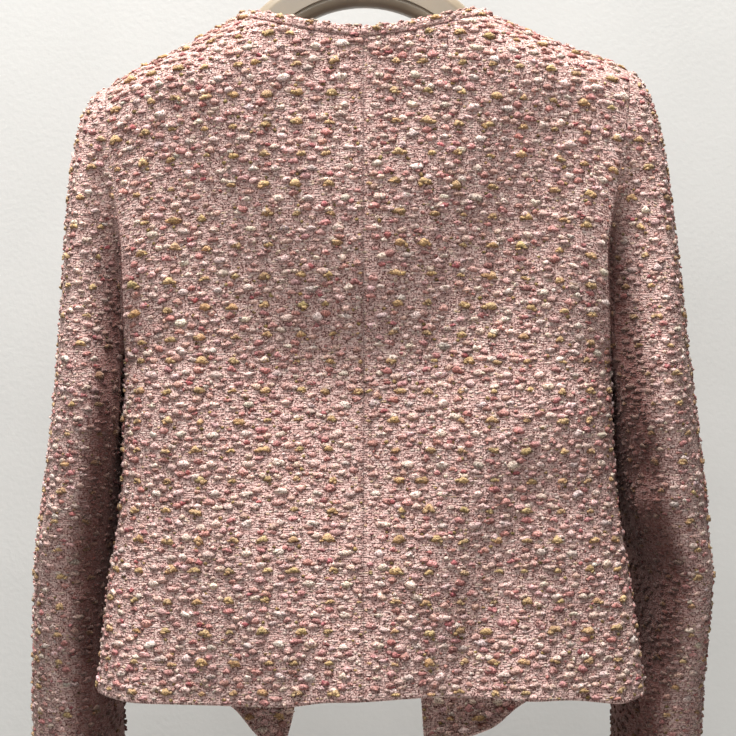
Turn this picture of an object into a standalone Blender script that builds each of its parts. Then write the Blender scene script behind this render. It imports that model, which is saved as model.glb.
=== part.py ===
"""Cropped tweed jacket on its hanger, hanging by the hook.

Everything is in metres, +Z up.  The wearer's left is +X and the front faces -Y.
The origin is the point inside the hook where a rail carries it.

Each cloth panel is a wall between two grids of points.  A panel's grid runs down
from its neck and shoulder edge to the underarm and on to the hem, along level
sections of the body that are round at the sides, and it is moved out or in by a
short table of folds.  The sleeves start on the armhole's own points.
"""

import math

import bmesh
import bpy
import numpy as np

LEFT = 1
RIGHT = -1
BACK = 1
FRONT = -1
NAME = {LEFT: "left", RIGHT: "right"}

# Cloth and seams.
CLOTH = 0.0020
FACING_CLOTH = 0.0016
SEAM_GAP = 0.0003
ARMHOLE_GAP = 0.00045

# Levels and neck.
SHOULDER_TIP = {LEFT: 0.188, RIGHT: 0.1935}
UNDERARM_Z = -0.350
BACK_NECK_Z = -0.1175
FRONT_NECK_Z = -0.1815
NECK_HALF = 0.095
NECK = {BACK: (BACK_NECK_Z, 1.7), FRONT: (FRONT_NECK_Z, 3.2)}
SHOULDER_DEPTH = 0.060
SHOULDER_POWER = 3.0
SIDE_POWER = {BACK: 2.7, FRONT: 2.5}
ARMHOLE_TURN = math.radians(42.0)

# Grid of a panel: columns across its neck and shoulder, rows above and below the underarm.
NECK_COLUMNS = 7
SHOULDER_COLUMNS = 8
CROWDING = 0.25
ARMHOLE_ROWS = 15
SIDE_ROWS = 12
SLEEVE_HEAD_ROWS = 9
SLEEVE_ARM_ROWS = 11
SECTION_STEPS = 97
HEM_ROUNDS = 12
SHARP_EDGE = math.radians(50.0)
SLOPE_STEP = 0.0005

# Sleeve.
BICEPS_Z = -0.400
CUFF_Z = -0.718
SLEEVE_POWER = 2.3
SLEEVE_CLEARANCE = 0.0030
SLEEVE_SOFTNESS = 0.0030
HEAD_PULL = 1.2
HEAD_PARTS = 0.6
FOLDS_START = 0.060

# Neck binding and front facings.
BINDING_HEIGHT = 0.0068
BINDING_THICKNESS = 0.0034
FACING_COLUMNS = 6
FACING_SETBACK = 0.0012

# Hanger and hook.
ARCH_CENTRE_Z = -0.171
ARCH_RADIUS = 0.113
ARCH_ENDS = 0.078
ARM_STARTS = 0.112
ARM_CLEARANCE = 0.0008
ARM_TIP = {LEFT: 0.179, RIGHT: 0.185}
TIP_ROUND = 0.008
TIP_TURNS = np.radians((90, 70, 45, 20))
TIP_END = 0.12
HANGER_STATIONS = 37
WIRE = 0.0046
WIRE_SIDES = 10
WIRE_END = 0.6
HOOK_INSIDE = 0.019
HOOK_BEND = math.radians(60.0)
HOOK_ENDS = math.radians(197.0)
BEND_STEPS = 7
HOOK_STEPS = 30
STEM_FOOT_Z = -0.0700
BORE_FOOT_Z = -0.0705
BORE_SIDES = 20
BORE_OVERSHOOT = 0.004


def table(names, rows):
    """Columns of a table of sizes, by name."""
    return dict(zip(names.split(), np.array(rows, float).T))


# Shoulder line seen from behind; it goes on past the neck, where no cloth is.
SHOULDER = table("x left right", [
    (0.000, -0.0450, -0.0450),
    (0.095, -0.0965, -0.0940),
    (0.108, -0.1045, -0.1003),
    (0.134, -0.1183, -0.1113),
    (0.158, -0.1300, -0.1203),
    (0.180, -0.1418, -0.1277),
    (0.194, -0.1515, -0.1345),
])

# Half-width at the armhole's edge, and below the underarm at the side seam.
EDGE = table("z left right", [
    (-0.090, 0.190, 0.196),
    (-0.1345, 0.1885, 0.1935),
    (-0.1475, 0.188, 0.1925),
    (-0.175, 0.186, 0.190),
    (-0.200, 0.183, 0.186),
    (-0.235, 0.178, 0.180),
    (-0.270, 0.175, 0.176),
    (-0.306, 0.1745, 0.178),
    (-0.350, 0.1765, 0.1820),
    (-0.400, 0.1775, 0.1835),
    (-0.431, 0.1780, 0.1848),
    (-0.462, 0.1802, 0.1878),
    (-0.512, 0.1872, 0.1952),
    (-0.547, 0.1905, 0.1997),
    (-0.593, 0.1948, 0.2052),
    (-0.620, 0.1970, 0.2080),
])

# Depth of the middle of the back, the side seam and the middle of the front.
DEPTH = table("z back side front", [
    (-0.090, 0.047, 0.000, -0.042),
    (-0.117, 0.049, 0.000, -0.048),
    (-0.150, 0.052, -0.001, -0.058),
    (-0.200, 0.053, -0.002, -0.070),
    (-0.260, 0.051, -0.003, -0.081),
    (-0.350, 0.046, -0.005, -0.088),
    (-0.420, 0.046, 0.000, -0.087),
    (-0.500, 0.053, 0.007, -0.083),
    (-0.593, 0.062, 0.012, -0.078),
    (-0.660, 0.066, 0.012, -0.075),
])

# Front edge's distance from the middle.
OPENING = table("z left right", [
    (-0.170, 0.022, 0.020),
    (-0.300, 0.024, 0.021),
    (-0.450, 0.034, 0.028),
    (-0.560, 0.047, 0.039),
    (-0.617, 0.0555, 0.0460),
    (-0.660, 0.0670, 0.0490),
])

# Lower edge of the back by its distance from the middle.
BACK_HEM = table("x left right", [
    (0.000, -0.5868, -0.5868),
    (0.024, -0.5877, -0.5866),
    (0.055, -0.5918, -0.5870),
    (0.090, -0.5925, -0.5880),
    (0.135, -0.5915, -0.5893),
    (0.168, -0.5905, -0.5920),
    (0.185, -0.5890, -0.5935),
    (0.205, -0.5880, -0.5895),
])

# Lower edge of the front, which falls in a point at the front corner.
FRONT_HEM = table("x left right", [
    (0.045, -0.6560, -0.6560),
    (0.066, -0.6520, -0.6480),
    (0.083, -0.6400, -0.6405),
    (0.101, -0.6200, -0.6335),
    (0.120, -0.6090, -0.6190),
    (0.145, -0.6005, -0.6050),
    (0.170, -0.5940, -0.5975),
    (0.205, -0.5880, -0.5895),
])

# Soft ridges and troughs: both ends of each, how far it stands out at them, half-width.
BACK_FOLDS = table("x0 z0 x1 z1 out0 out1 half", [
    (0.150, -0.190, 0.048, -0.345, -0.0100, -0.0130, 0.052),
    (-0.150, -0.180, -0.045, -0.345, -0.0100, -0.0120, 0.052),
    (0.155, -0.385, 0.105, -0.465, 0.0060, 0.0050, 0.050),
    (-0.160, -0.385, -0.120, -0.450, 0.0060, 0.0040, 0.048),
    (0.010, -0.385, -0.010, -0.425, -0.0050, -0.0050, 0.045),
    (0.060, -0.440, 0.045, -0.545, 0.0000, 0.0045, 0.035),
    (0.005, -0.510, 0.005, -0.596, 0.0000, 0.0060, 0.024),
    (0.065, -0.545, 0.100, -0.596, -0.0010, -0.0060, 0.034),
    (0.160, -0.520, 0.168, -0.596, 0.0010, 0.0050, 0.020),
    (-0.115, -0.450, -0.060, -0.596, -0.0060, -0.0090, 0.028),
    (-0.088, -0.510, -0.120, -0.596, 0.0020, 0.0060, 0.020),
    (-0.148, -0.545, -0.154, -0.596, -0.0010, -0.0050, 0.018),
])

FRONT_FOLDS = table("x0 z0 x1 z1 out0 out1 half", [
    (0.080, -0.240, 0.095, -0.400, 0.0010, -0.0040, 0.028),
    (-0.085, -0.230, -0.090, -0.390, 0.0010, -0.0035, 0.028),
    (0.120, -0.420, 0.125, -0.600, 0.0010, 0.0070, 0.024),
    (-0.110, -0.410, -0.128, -0.600, 0.0010, 0.0065, 0.024),
    (0.085, -0.450, 0.080, -0.640, -0.0010, -0.0060, 0.022),
    (-0.075, -0.460, -0.085, -0.640, -0.0010, -0.0065, 0.022),
    (0.160, -0.480, 0.160, -0.596, -0.0010, -0.0045, 0.020),
    (-0.165, -0.470, -0.165, -0.596, -0.0010, -0.0045, 0.020),
])

# Sleeve's level sections: middle, half-width, half-depth, how far its back turns outwards.
SLEEVE = {
    LEFT: table("z x y wide deep lean", [
        (-0.400, 0.2031, -0.028, 0.0290, 0.068, 0.002),
        (-0.450, 0.2099, -0.033, 0.0295, 0.065, 0.002),
        (-0.500, 0.2164, -0.040, 0.0306, 0.061, 0.002),
        (-0.560, 0.2200, -0.050, 0.0309, 0.056, 0.002),
        (-0.620, 0.2216, -0.062, 0.0327, 0.051, 0.002),
        (-0.680, 0.2221, -0.076, 0.0325, 0.047, 0.002),
        (-0.718, 0.2225, -0.085, 0.0319, 0.045, 0.002),
    ]),
    RIGHT: table("z x y wide deep lean", [
        (-0.400, 0.2164, -0.028, 0.0320, 0.067, 0.002),
        (-0.452, 0.2235, -0.034, 0.0310, 0.064, 0.004),
        (-0.480, 0.2266, -0.038, 0.0273, 0.064, 0.008),
        (-0.510, 0.2318, -0.043, 0.0243, 0.063, 0.011),
        (-0.560, 0.2314, -0.052, 0.0248, 0.058, 0.008),
        (-0.620, 0.2269, -0.063, 0.0316, 0.050, 0.004),
        (-0.680, 0.2283, -0.077, 0.0308, 0.046, 0.003),
        (-0.718, 0.2281, -0.086, 0.0299, 0.044, 0.003),
    ]),
}

# How the sleeve leaves the armhole, by the angle round it from the shoulder tip backwards:
# how far outwards on the left and the right side, backwards and upwards.
HEAD_START = table("angle left right back up", [
    (0, 0.125, 0.103, 0.000, -0.022),
    (45, 0.085, 0.076, -0.004, -0.057),
    (90, 0.050, 0.050, -0.010, -0.070),
    (135, 0.020, 0.020, -0.006, -0.060),
    (180, 0.003, 0.003, 0.000, -0.050),
    (225, 0.020, 0.020, 0.010, -0.060),
    (270, 0.060, 0.060, 0.010, -0.065),
    (315, 0.105, 0.090, 0.000, -0.060),
    (360, 0.125, 0.103, 0.000, -0.022),
])

# Sleeve's folds: angle round the arm in degrees, level, how far out, half-width.
SLEEVE_FOLDS = {
    LEFT: table("angle0 z0 angle1 z1 out0 out1 half", [
        (60, -0.300, 75, -0.430, -0.0020, -0.0020, 0.016),
        (100, -0.440, 60, -0.480, 0.0020, 0.0020, 0.016),
        (110, -0.500, 50, -0.530, -0.0030, -0.0015, 0.015),
        (250, -0.480, 310, -0.520, -0.0035, -0.0015, 0.015),
    ]),
    RIGHT: table("angle0 z0 angle1 z1 out0 out1 half", [
        (0, -0.240, 0, -0.335, -0.0030, -0.0032, 0.032),
        (360, -0.240, 360, -0.335, -0.0030, -0.0032, 0.032),
        (110, -0.320, 120, -0.430, -0.0030, -0.0030, 0.014),
        (140, -0.452, 60, -0.440, 0.0040, 0.0015, 0.013),
        (120, -0.490, 60, -0.520, -0.0030, -0.0015, 0.016),
        (240, -0.470, 310, -0.510, -0.0035, -0.0015, 0.015),
    ]),
}

# Binding's section: height above the panel's edge and place through the cloth, as shares.
BINDING_SECTION = table("height through", [
    (0.06, -0.28),
    (0.06, 0.28),
    (0.24, 0.50),
    (0.76, 0.50),
    (1.00, 0.24),
    (1.00, -0.24),
    (0.76, -0.50),
    (0.24, -0.50),
])

# Hanger: height of its section and half its depth, by the distance from the middle.
HANGER = table("x height depth", [
    (0.000, 0.0290, 0.0100),
    (0.080, 0.0290, 0.0105),
    (0.120, 0.0250, 0.0115),
    (0.160, 0.0200, 0.0120),
    (0.190, 0.0170, 0.0118),
])

# Half of the hanger's section, top to bottom: a rounded top, a flat face, a groove and a lip.
HANGER_SECTION = table("height depth", [
    (1.00, 0.00),
    (0.90, 0.58),
    (0.68, 0.88),
    (0.42, 1.00),
    (-0.42, 1.00),
    (-0.47, 0.87),
    (-0.56, 0.90),
    (-0.86, 0.74),
    (-1.00, 0.40),
])

MATERIALS = {
    "tweed": ((0.42, 0.25, 0.22, 1.0), 0.95, 0.0),
    "hanger_plastic": ((0.49, 0.42, 0.33, 1.0), 0.45, 0.0),
    "hook_steel": ((0.60, 0.60, 0.60, 1.0), 0.25, 1.0),
}


def through(sizes, key, name, at):
    """A column's value at the given places: smooth pieces through the rows, without overshoot."""
    order = np.argsort(sizes[key])
    x = sizes[key][order]
    y = sizes[name][order]
    step = np.diff(x)
    rise = np.diff(y) / step
    slope = np.concatenate((rise[:1], np.zeros(len(rise) - 1), rise[-1:]))
    both = rise[:-1] * rise[1:]
    same = both > 0
    slope[1:-1][same] = 2 * both[same] / (rise[:-1] + rise[1:])[same]
    at = np.clip(at, x[0], x[-1])
    piece = np.clip(np.searchsorted(x, at) - 1, 0, len(step) - 1)
    t = (at - x[piece]) / step[piece]
    bend = t * (1 - t) * step[piece] * ((1 - t) * slope[piece] - t * slope[piece + 1])
    return y[piece] + t * t * (3 - 2 * t) * (y[piece + 1] - y[piece]) + bend


def ease(t):
    """Zero to one with level ends."""
    t = np.clip(t, 0, 1)
    return t * t * (3 - 2 * t)


def tip_level(side):
    """Level of the shoulder tip."""
    return through(SHOULDER, "x", NAME[side], SHOULDER_TIP[side])


def armhole_angle(side, z):
    """Angle round the armhole at a level: zero at the shoulder tip, pi at the underarm."""
    top = tip_level(side)
    share = np.clip((top - z) / (top - UNDERARM_Z), 0, 1)
    return np.arccos(1 - 2 * share)


def edge_turn(side, z):
    """How far a level section turns before the panel ends: a quarter turn below the underarm."""
    above = math.pi - armhole_angle(side, z)
    return math.pi / 2 - ARMHOLE_TURN * np.sin(np.minimum(above, math.pi / 2))


def unit_section(turn, power):
    """Quarter of a rounded square of half-width one: across and depth at an angle."""
    reach = (np.sin(turn) ** power + np.abs(np.cos(turn)) ** power) ** (-1 / power)
    return np.sin(turn) * reach, np.cos(turn) * reach


def section_sizes(side, face, z):
    """Half-width of the whole level section, and its depth from the side seam's plane."""
    power = SIDE_POWER[face]
    width = through(EDGE, "z", NAME[side], z) / unit_section(edge_turn(side, z), power)[0]
    middle = through(DEPTH, "z", "back" if face == BACK else "front", z)
    return width, np.abs(middle - through(DEPTH, "z", "side", z))


def turn_of(side, face, x, z):
    """Angle on the level section of the point at a distance from the middle."""
    power = SIDE_POWER[face]
    width = section_sizes(side, face, z)[0]
    share = np.clip(x / width, 0, 1)
    return np.arctan2(share, (1 - share ** power) ** (1 / power))


def start_turn(side, face, z):
    """Angle at which the panel starts: the centre back, or the front edge."""
    if face == BACK:
        return np.zeros_like(z)
    return turn_of(side, face, through(OPENING, "z", NAME[side], z), z)


def lengths(side, face, z, stop):
    """Running length of the level section from the panel's start to an angle."""
    steps = np.linspace(0, 1, SECTION_STEPS)
    start = start_turn(side, face, z)
    turns = start[..., None] + (stop - start)[..., None] * steps
    width, depth = section_sizes(side, face, z)
    across, deep = unit_section(turns, SIDE_POWER[face])
    run = np.hypot(np.diff(across * width[..., None]), np.diff(deep * depth[..., None]))
    total = np.concatenate((np.zeros_like(run[..., :1]), np.cumsum(run, -1)), -1)
    return turns, total


def share_of(side, face, x, z):
    """Share of the panel's width at which a point lies, measured round the section."""
    part = lengths(side, face, z, turn_of(side, face, x, z))[1][..., -1]
    whole = lengths(side, face, z, edge_turn(side, z))[1][..., -1]
    return part / whole


def turn_at(side, face, share, z):
    """Angle on the section at a share of the panel's width."""
    turns, run = lengths(side, face, z, edge_turn(side, z))
    aim = share * run[..., -1]
    upper = np.clip((run < aim[..., None]).sum(-1), 1, run.shape[-1] - 1)[..., None]
    run1 = np.take_along_axis(run, upper, -1)[..., 0]
    run0 = np.take_along_axis(run, upper - 1, -1)[..., 0]
    turn1 = np.take_along_axis(turns, upper, -1)[..., 0]
    turn0 = np.take_along_axis(turns, upper - 1, -1)[..., 0]
    return turn0 + (turn1 - turn0) * (aim - run0) / (run1 - run0)


def folds(rows, x, z):
    """Sum of the table's soft ridges: each falls off evenly to both sides of its line."""
    out = np.zeros_like(x)
    for x0, z0, x1, z1, out0, out1, half in zip(*rows.values()):
        along = ((x - x0) * (x1 - x0) + (z - z0) * (z1 - z0)) / ((x1 - x0) ** 2 + (z1 - z0) ** 2)
        along = np.clip(along, 0, 1)
        away = np.hypot(x - x0 - along * (x1 - x0), z - z0 - along * (z1 - z0))
        out += (out0 + (out1 - out0) * ease(along)) * np.exp(-(away / half) ** 2)
    return out


def body_point(side, face, share, z):
    """Point of the body's outer surface at a share of the panel's width and a level.

    The depth is rounded off towards the shoulder line, and the folds die out at the side.
    """
    turn = turn_at(side, face, share, z)
    width, depth = section_sizes(side, face, z)
    across, deep = unit_section(turn, SIDE_POWER[face])
    x = across * width
    fold = folds(BACK_FOLDS if face == BACK else FRONT_FOLDS, side * x, z) * deep * (2 - deep)
    below = through(SHOULDER, "x", NAME[side], x) - z
    rounding = np.sqrt(1 - (1 - np.clip(below / SHOULDER_DEPTH, 0, 1)) ** SHOULDER_POWER)
    y = through(DEPTH, "z", "side", z) + face * (depth * deep + fold)
    return np.stack((side * x, y * rounding, z), -1)


def top_edge(side, face):
    """Distance from the middle and level of each column's top: neck edge, then shoulder seam."""
    tip = SHOULDER_TIP[side]
    start = 0.0 if face == BACK else through(OPENING, "z", NAME[side], FRONT_NECK_Z)
    swing = np.linspace(math.asin(start / NECK_HALF), math.pi / 2, NECK_COLUMNS + 1)
    neck = NECK_HALF * np.sin(swing)
    part = np.linspace(0, 1, SHOULDER_COLUMNS + 1)[1:]
    part = part * (1 + CROWDING * (1 - part))
    x = np.concatenate((neck, NECK_HALF + (tip - NECK_HALF) * part))
    z = through(SHOULDER, "x", NAME[side], x)
    middle, power = NECK[face]
    rise = (neck / NECK_HALF) ** power
    z[:NECK_COLUMNS + 1] = middle + (z[NECK_COLUMNS] - middle) * rise
    return x, z


def hem_level(side, face, share):
    """Level of the hem in each column, found where the column meets the hem's line."""
    rows = BACK_HEM if face == BACK else FRONT_HEM
    z = np.full_like(share, UNDERARM_Z)
    for _ in range(HEM_ROUNDS):
        x = np.abs(body_point(side, face, share, z)[..., 0])
        z = 0.5 * (z + through(rows, "x", NAME[side], x))
    return z


def levels(top, hem):
    """Levels of the grid's rows in each column, closer together where the cloth turns."""
    t = np.linspace(0, 1, ARMHOLE_ROWS + 1)[:, None]
    down = (3 - 2 * np.cos(math.pi / 2 * t) - np.cos(math.pi * t)) / 4
    upper = top + (UNDERARM_Z - top) * down
    t = np.linspace(0, 1, SIDE_ROWS + 1)[1:, None]
    return np.concatenate((upper, UNDERARM_Z + (hem - UNDERARM_Z) * t))


def unit(vectors):
    """Vectors of the same directions, one long."""
    return vectors / np.linalg.norm(vectors, axis=-1, keepdims=True)


def tangents(points, axis):
    """Direction along a grid at each point, midway between the steps before and after it."""
    step = unit(np.diff(points, axis=axis))
    first, last = np.take(step, [0], axis), np.take(step, [-1], axis)
    return np.concatenate((first, step), axis) + np.concatenate((step, last), axis)


def grid_normals(points, outward, around=False):
    """Unit normals of a grid, turned to the side that the outward direction points to."""
    if around:
        closed = np.concatenate((points[:, -1:], points, points[:, :1]), 1)
        across = tangents(closed, 1)[:, 1:-1]
    else:
        across = tangents(points, 1)
    normal = unit(np.cross(across, tangents(points, 0)))
    return normal * np.sign((normal * outward).sum(-1).mean())


def panel(side, face):
    """Outer and inner grid of one body panel, its edges drawn back by half a seam's gap."""
    x, top = top_edge(side, face)
    share = share_of(side, face, x, top)
    share[-1] = 1.0
    z = levels(top, hem_level(side, face, share))
    outer = body_point(side, face, np.broadcast_to(share, z.shape), z)
    normal = grid_normals(outer, np.array((0, face, 0)))
    shoulder = NECK_COLUMNS
    normal[0, shoulder:, 1] = 0
    normal[ARMHOLE_ROWS:, -1, 1] = 0
    if face == BACK:
        normal[:, 0, 0] = 0
    normal = unit(normal)
    outer[0, shoulder:, 1] = face * SEAM_GAP / 2
    seam = through(DEPTH, "z", "side", outer[ARMHOLE_ROWS:, -1, 2])
    outer[ARMHOLE_ROWS:, -1, 1] = seam + face * SEAM_GAP / 2
    if face == BACK:
        outer[:, 0, 0] = side * SEAM_GAP / 2
    return outer, outer - CLOTH * normal


def sleeve_ring(side, angle, z):
    """Level section of the hanging sleeve: angle zero is outermost, a quarter turn is behind."""
    sizes = SLEEVE[side]
    turn_x = np.cos(angle)
    turn_y = np.sin(angle)
    reach = (np.abs(turn_x) ** SLEEVE_POWER + np.abs(turn_y) ** SLEEVE_POWER) ** (-1 / SLEEVE_POWER)
    x = through(sizes, "z", "x", z) + through(sizes, "z", "wide", z) * turn_x * reach
    x = x + through(sizes, "z", "lean", z) * turn_y * reach
    y = through(sizes, "z", "y", z) + through(sizes, "z", "deep", z) * turn_y * reach
    return np.stack((side * x, y, z), -1)


def clear_of_body(side, points, clearance, softness):
    """Moves points outwards where they would come nearer the body's side than the clearance."""
    x, y, z = np.moveaxis(points, -1, 0)
    seam = through(DEPTH, "z", "side", z)
    reach = []
    for face in (BACK, FRONT):
        width, depth = section_sizes(side, face, z)
        share = np.clip(np.abs(y - seam) / depth, 0, 1)
        reach.append(width * (1 - share ** SIDE_POWER[face]) ** (1 / SIDE_POWER[face]))
    body = np.where(y > seam, *reach)
    body = np.minimum(body, through(EDGE, "z", NAME[side], z)) + clearance
    out = (np.abs(x) + body + np.sqrt((np.abs(x) - body) ** 2 + softness ** 2)) / 2
    return np.stack((side * out, y, z), -1)


def sleeve(side, panels):
    """Outer and inner grid of a sleeve, from the armhole's points to the cuff."""
    behind = panels[side, BACK][0][:ARMHOLE_ROWS + 1, -1]
    before = panels[side, FRONT][0][ARMHOLE_ROWS - 1:0:-1, -1]
    armhole = np.concatenate((behind, before))
    armhole[0, 1] = 0
    armhole[ARMHOLE_ROWS, 1] = through(DEPTH, "z", "side", UNDERARM_Z)
    armhole[:, 0] += side * ARMHOLE_GAP
    angle = np.linspace(0, 2 * math.pi, 2 * ARMHOLE_ROWS, endpoint=False)
    degrees = np.degrees(angle)
    start = np.stack((side * through(HEAD_START, "angle", NAME[side], degrees),
                      through(HEAD_START, "angle", "back", degrees),
                      through(HEAD_START, "angle", "up", degrees)), -1)
    level = np.full_like(angle, BICEPS_Z)
    biceps = sleeve_ring(side, angle, level)
    heading = unit(sleeve_ring(side, angle, level - SLOPE_STEP) - biceps)
    arrive = heading * HEAD_PULL * np.linalg.norm(biceps - armhole, axis=-1, keepdims=True)
    t = np.linspace(0, 1, SLEEVE_HEAD_ROWS + 1)[:, None, None]
    head = ((1 + 2 * t) * (1 - t) ** 2 * armhole + t * (1 - t) ** 2 * start
            + t * t * (3 - 2 * t) * biceps - t * t * (1 - t) * arrive)
    parted = ease(t[..., 0] / HEAD_PARTS)
    head = clear_of_body(side, head, ARMHOLE_GAP + (SLEEVE_CLEARANCE - ARMHOLE_GAP) * parted,
                         SLEEVE_SOFTNESS * parted)
    rows = np.linspace(BICEPS_Z, CUFF_Z, SLEEVE_ARM_ROWS + 1)[1:, None]
    arm = sleeve_ring(side, *np.broadcast_arrays(angle, rows))
    arm = clear_of_body(side, arm, SLEEVE_CLEARANCE, SLEEVE_SOFTNESS)
    outer = np.concatenate((head, arm))
    middle = outer.mean(1, keepdims=True)
    ray = (outer - middle) * (1, 1, 0)
    round_arm = np.linalg.norm(ray, axis=-1, keepdims=True)
    girth = np.linalg.norm(np.diff(outer, axis=1), axis=-1).sum(1)[:, None] / (2 * math.pi)
    rows = dict(SLEEVE_FOLDS[side])
    for end in ("angle0", "angle1"):
        rows[end] = np.radians(rows[end]) * girth.mean()
    fold = folds(rows, np.broadcast_to(angle * girth.mean(), outer.shape[:2]), outer[..., 2])
    fold *= ease((outer[0, :, 2] - outer[..., 2]) / FOLDS_START)
    outer += fold[..., None] * ray / round_arm
    normal = grid_normals(outer, ray, around=True)
    first = unit(np.cross(np.roll(armhole, -1, 0) - np.roll(armhole, 1, 0), start))
    normal[0] = first * np.sign((first * normal[0]).sum(-1).mean())
    return outer, outer - CLOTH * normal


def neck_binding(panels):
    """Rings of the narrow band that stands on the neck edge, from front edge to front edge."""
    edge = []
    normal = []
    for side in (LEFT, RIGHT):
        for face in (FRONT, BACK):
            outer, inner = panels[side, face]
            row = outer[0, :NECK_COLUMNS + 1].copy()
            lean = (outer - inner)[0, :NECK_COLUMNS + 1] / CLOTH
            row[-1, 1] = 0
            if face == BACK:
                row, lean = row[::-1], lean[::-1]
            edge.append(row if face == FRONT else row[1:])
            normal.append(lean if face == FRONT else lean[1:])
    left = np.concatenate(edge[:2])
    right = np.concatenate(edge[2:])[::-1]
    left_lean = np.concatenate(normal[:2])
    right_lean = np.concatenate(normal[2:])[::-1]
    left[-1, 0] = 0
    path = np.concatenate((left, right[1:]))
    lean = np.concatenate((left_lean, right_lean[1:]))
    along = np.gradient(path, axis=0)
    along[[NECK_COLUMNS, -1 - NECK_COLUMNS]] *= (0, 1, 0)
    rise = unit(np.cross(lean, along))
    height = BINDING_SECTION["height"][:, None, None] * BINDING_HEIGHT
    across = BINDING_SECTION["through"][:, None, None] * BINDING_THICKNESS - CLOTH / 2
    return np.moveaxis(path + height * rise + across * lean, 0, 1)


def facing(side, panels):
    """Outer and inner grid of the strip inside a front edge, on the front's own points."""
    outer, inner = (grid[:, :FACING_COLUMNS].copy() for grid in panels[side, FRONT])
    for row, next_row in ((0, 1), (-1, -2)):
        back = FACING_SETBACK * unit(outer[next_row] - outer[row])
        outer[row] += back
        inner[row] += back
    lean = (outer - inner) / CLOTH
    near = inner - SEAM_GAP * lean
    return near, near - FACING_CLOTH * lean


def hanger_top(x):
    """Top line of the hanger: a round arch in the middle, then arms just under the shoulders."""
    side = np.where(x >= 0, LEFT, RIGHT)
    away = np.abs(x)
    arch = ARCH_CENTRE_Z + np.sqrt(np.maximum(ARCH_RADIUS ** 2 - away ** 2, 0))
    arm = np.empty_like(x)
    for each in (LEFT, RIGHT):
        line = through(SHOULDER, "x", NAME[each], away)
        slope = (through(SHOULDER, "x", NAME[each], away + SLOPE_STEP) - line) / SLOPE_STEP
        line = line - (CLOTH + ARM_CLEARANCE) * np.sqrt(1 + slope ** 2)
        arm = np.where(side == each, line, arm)
    return arch + (arm - arch) * ease((away - ARCH_ENDS) / (ARM_STARTS - ARCH_ENDS))


def hanger_rings():
    """Rings of the hanger's beam from the right tip to the left, smaller at the rounded tips."""
    tip = {side: ARM_TIP[side] - TIP_ROUND * (1 - np.sin(TIP_TURNS)) for side in (LEFT, RIGHT)}
    middle = np.linspace(-tip[RIGHT][-1], tip[LEFT][-1], HANGER_STATIONS)[1:-1]
    x = np.concatenate((-tip[RIGHT], middle, tip[LEFT][::-1]))
    end = np.maximum(np.cos(TIP_TURNS), TIP_END)
    small = np.concatenate((end, np.ones_like(middle), end[::-1]))
    top = np.stack((x, hanger_top(x)), -1)
    near = np.stack((x + SLOPE_STEP, hanger_top(x + SLOPE_STEP)), -1) - top
    near = unit(near)
    up = np.stack((-near[:, 1], near[:, 0]), -1)
    height = through(HANGER, "x", "height", np.abs(x)) / 2
    depth = through(HANGER, "x", "depth", np.abs(x)) * small
    centre = top - up * height[:, None]
    rise = np.concatenate((HANGER_SECTION["height"], HANGER_SECTION["height"][:0:-1]))
    wide = np.concatenate((HANGER_SECTION["depth"], -HANGER_SECTION["depth"][:0:-1]))
    place = centre[:, None] + up[:, None] * (height * small)[:, None, None] * rise[:, None]
    return np.stack((place[..., 0], depth[:, None] * wide, place[..., 1]), -1)


def hook_rings():
    """Rings of the hook's wire: straight stem, a bend aside and the round hook, of one radius."""
    radius = HOOK_INSIDE + WIRE / 2
    swing = np.linspace(0, HOOK_BEND, BEND_STEPS)
    sweep = np.linspace(-HOOK_BEND, HOOK_ENDS, HOOK_STEPS)[1:]
    bend_foot = -HOOK_INSIDE - 2 * radius * math.sin(HOOK_BEND)
    bend = np.stack((radius * (1 - np.cos(swing)), bend_foot + radius * np.sin(swing)), -1)
    hook = np.stack((radius * np.cos(sweep), radius * np.sin(sweep) - HOOK_INSIDE), -1)
    path = np.concatenate(([(0.0, STEM_FOOT_Z)], bend, hook))
    along = np.gradient(path, axis=0)
    along[:2] = (0, 1)
    along = unit(along)
    aside = np.stack((along[:, 1], -along[:, 0]), -1)
    turn = np.linspace(0, 2 * math.pi, WIRE_SIDES, endpoint=False)
    thick = np.full(len(path), WIRE / 2)
    thick[-1] *= WIRE_END
    ring = path[:, None] + aside[:, None] * (thick[:, None] * np.cos(turn))[..., None]
    return np.stack((ring[..., 0], thick[:, None] * np.sin(turn), ring[..., 1]), -1)


def triangles(rows, columns, around=False, first=0):
    """Faces between neighbouring rows and columns of a grid, all split on the same diagonal."""
    index = first + np.arange(rows * columns).reshape(rows, columns)
    if around:
        index = np.concatenate((index, index[:, :1]), 1)
    a, b, c, d = index[:-1, :-1], index[:-1, 1:], index[1:, 1:], index[1:, :-1]
    return np.stack((a, b, d, b, c, d), -1).reshape(-1, 3)


def rim(loop, count):
    """Faces that close the gap between the same loop of points on two grids."""
    following = np.roll(loop, -1)
    across = (loop, following, following + count, loop, following + count, loop + count)
    return np.stack(across, -1).reshape(-1, 3)


def add_object(name, points, faces, material):
    """Makes a closed object of points and faces, its faces turned outwards."""
    mesh = bpy.data.meshes.new(name)
    mesh.from_pydata(points.tolist(), [], [list(map(int, face)) for face in faces])
    shape = bmesh.new()
    shape.from_mesh(mesh)
    bmesh.ops.recalc_face_normals(shape, faces=shape.faces)
    shape.to_mesh(mesh)
    shape.free()
    mesh.materials.append(material)
    mesh.shade_smooth()
    mesh.set_sharp_from_angle(angle=SHARP_EDGE)
    obj = bpy.data.objects.new(name, mesh)
    bpy.context.scene.collection.objects.link(obj)
    return obj


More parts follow.
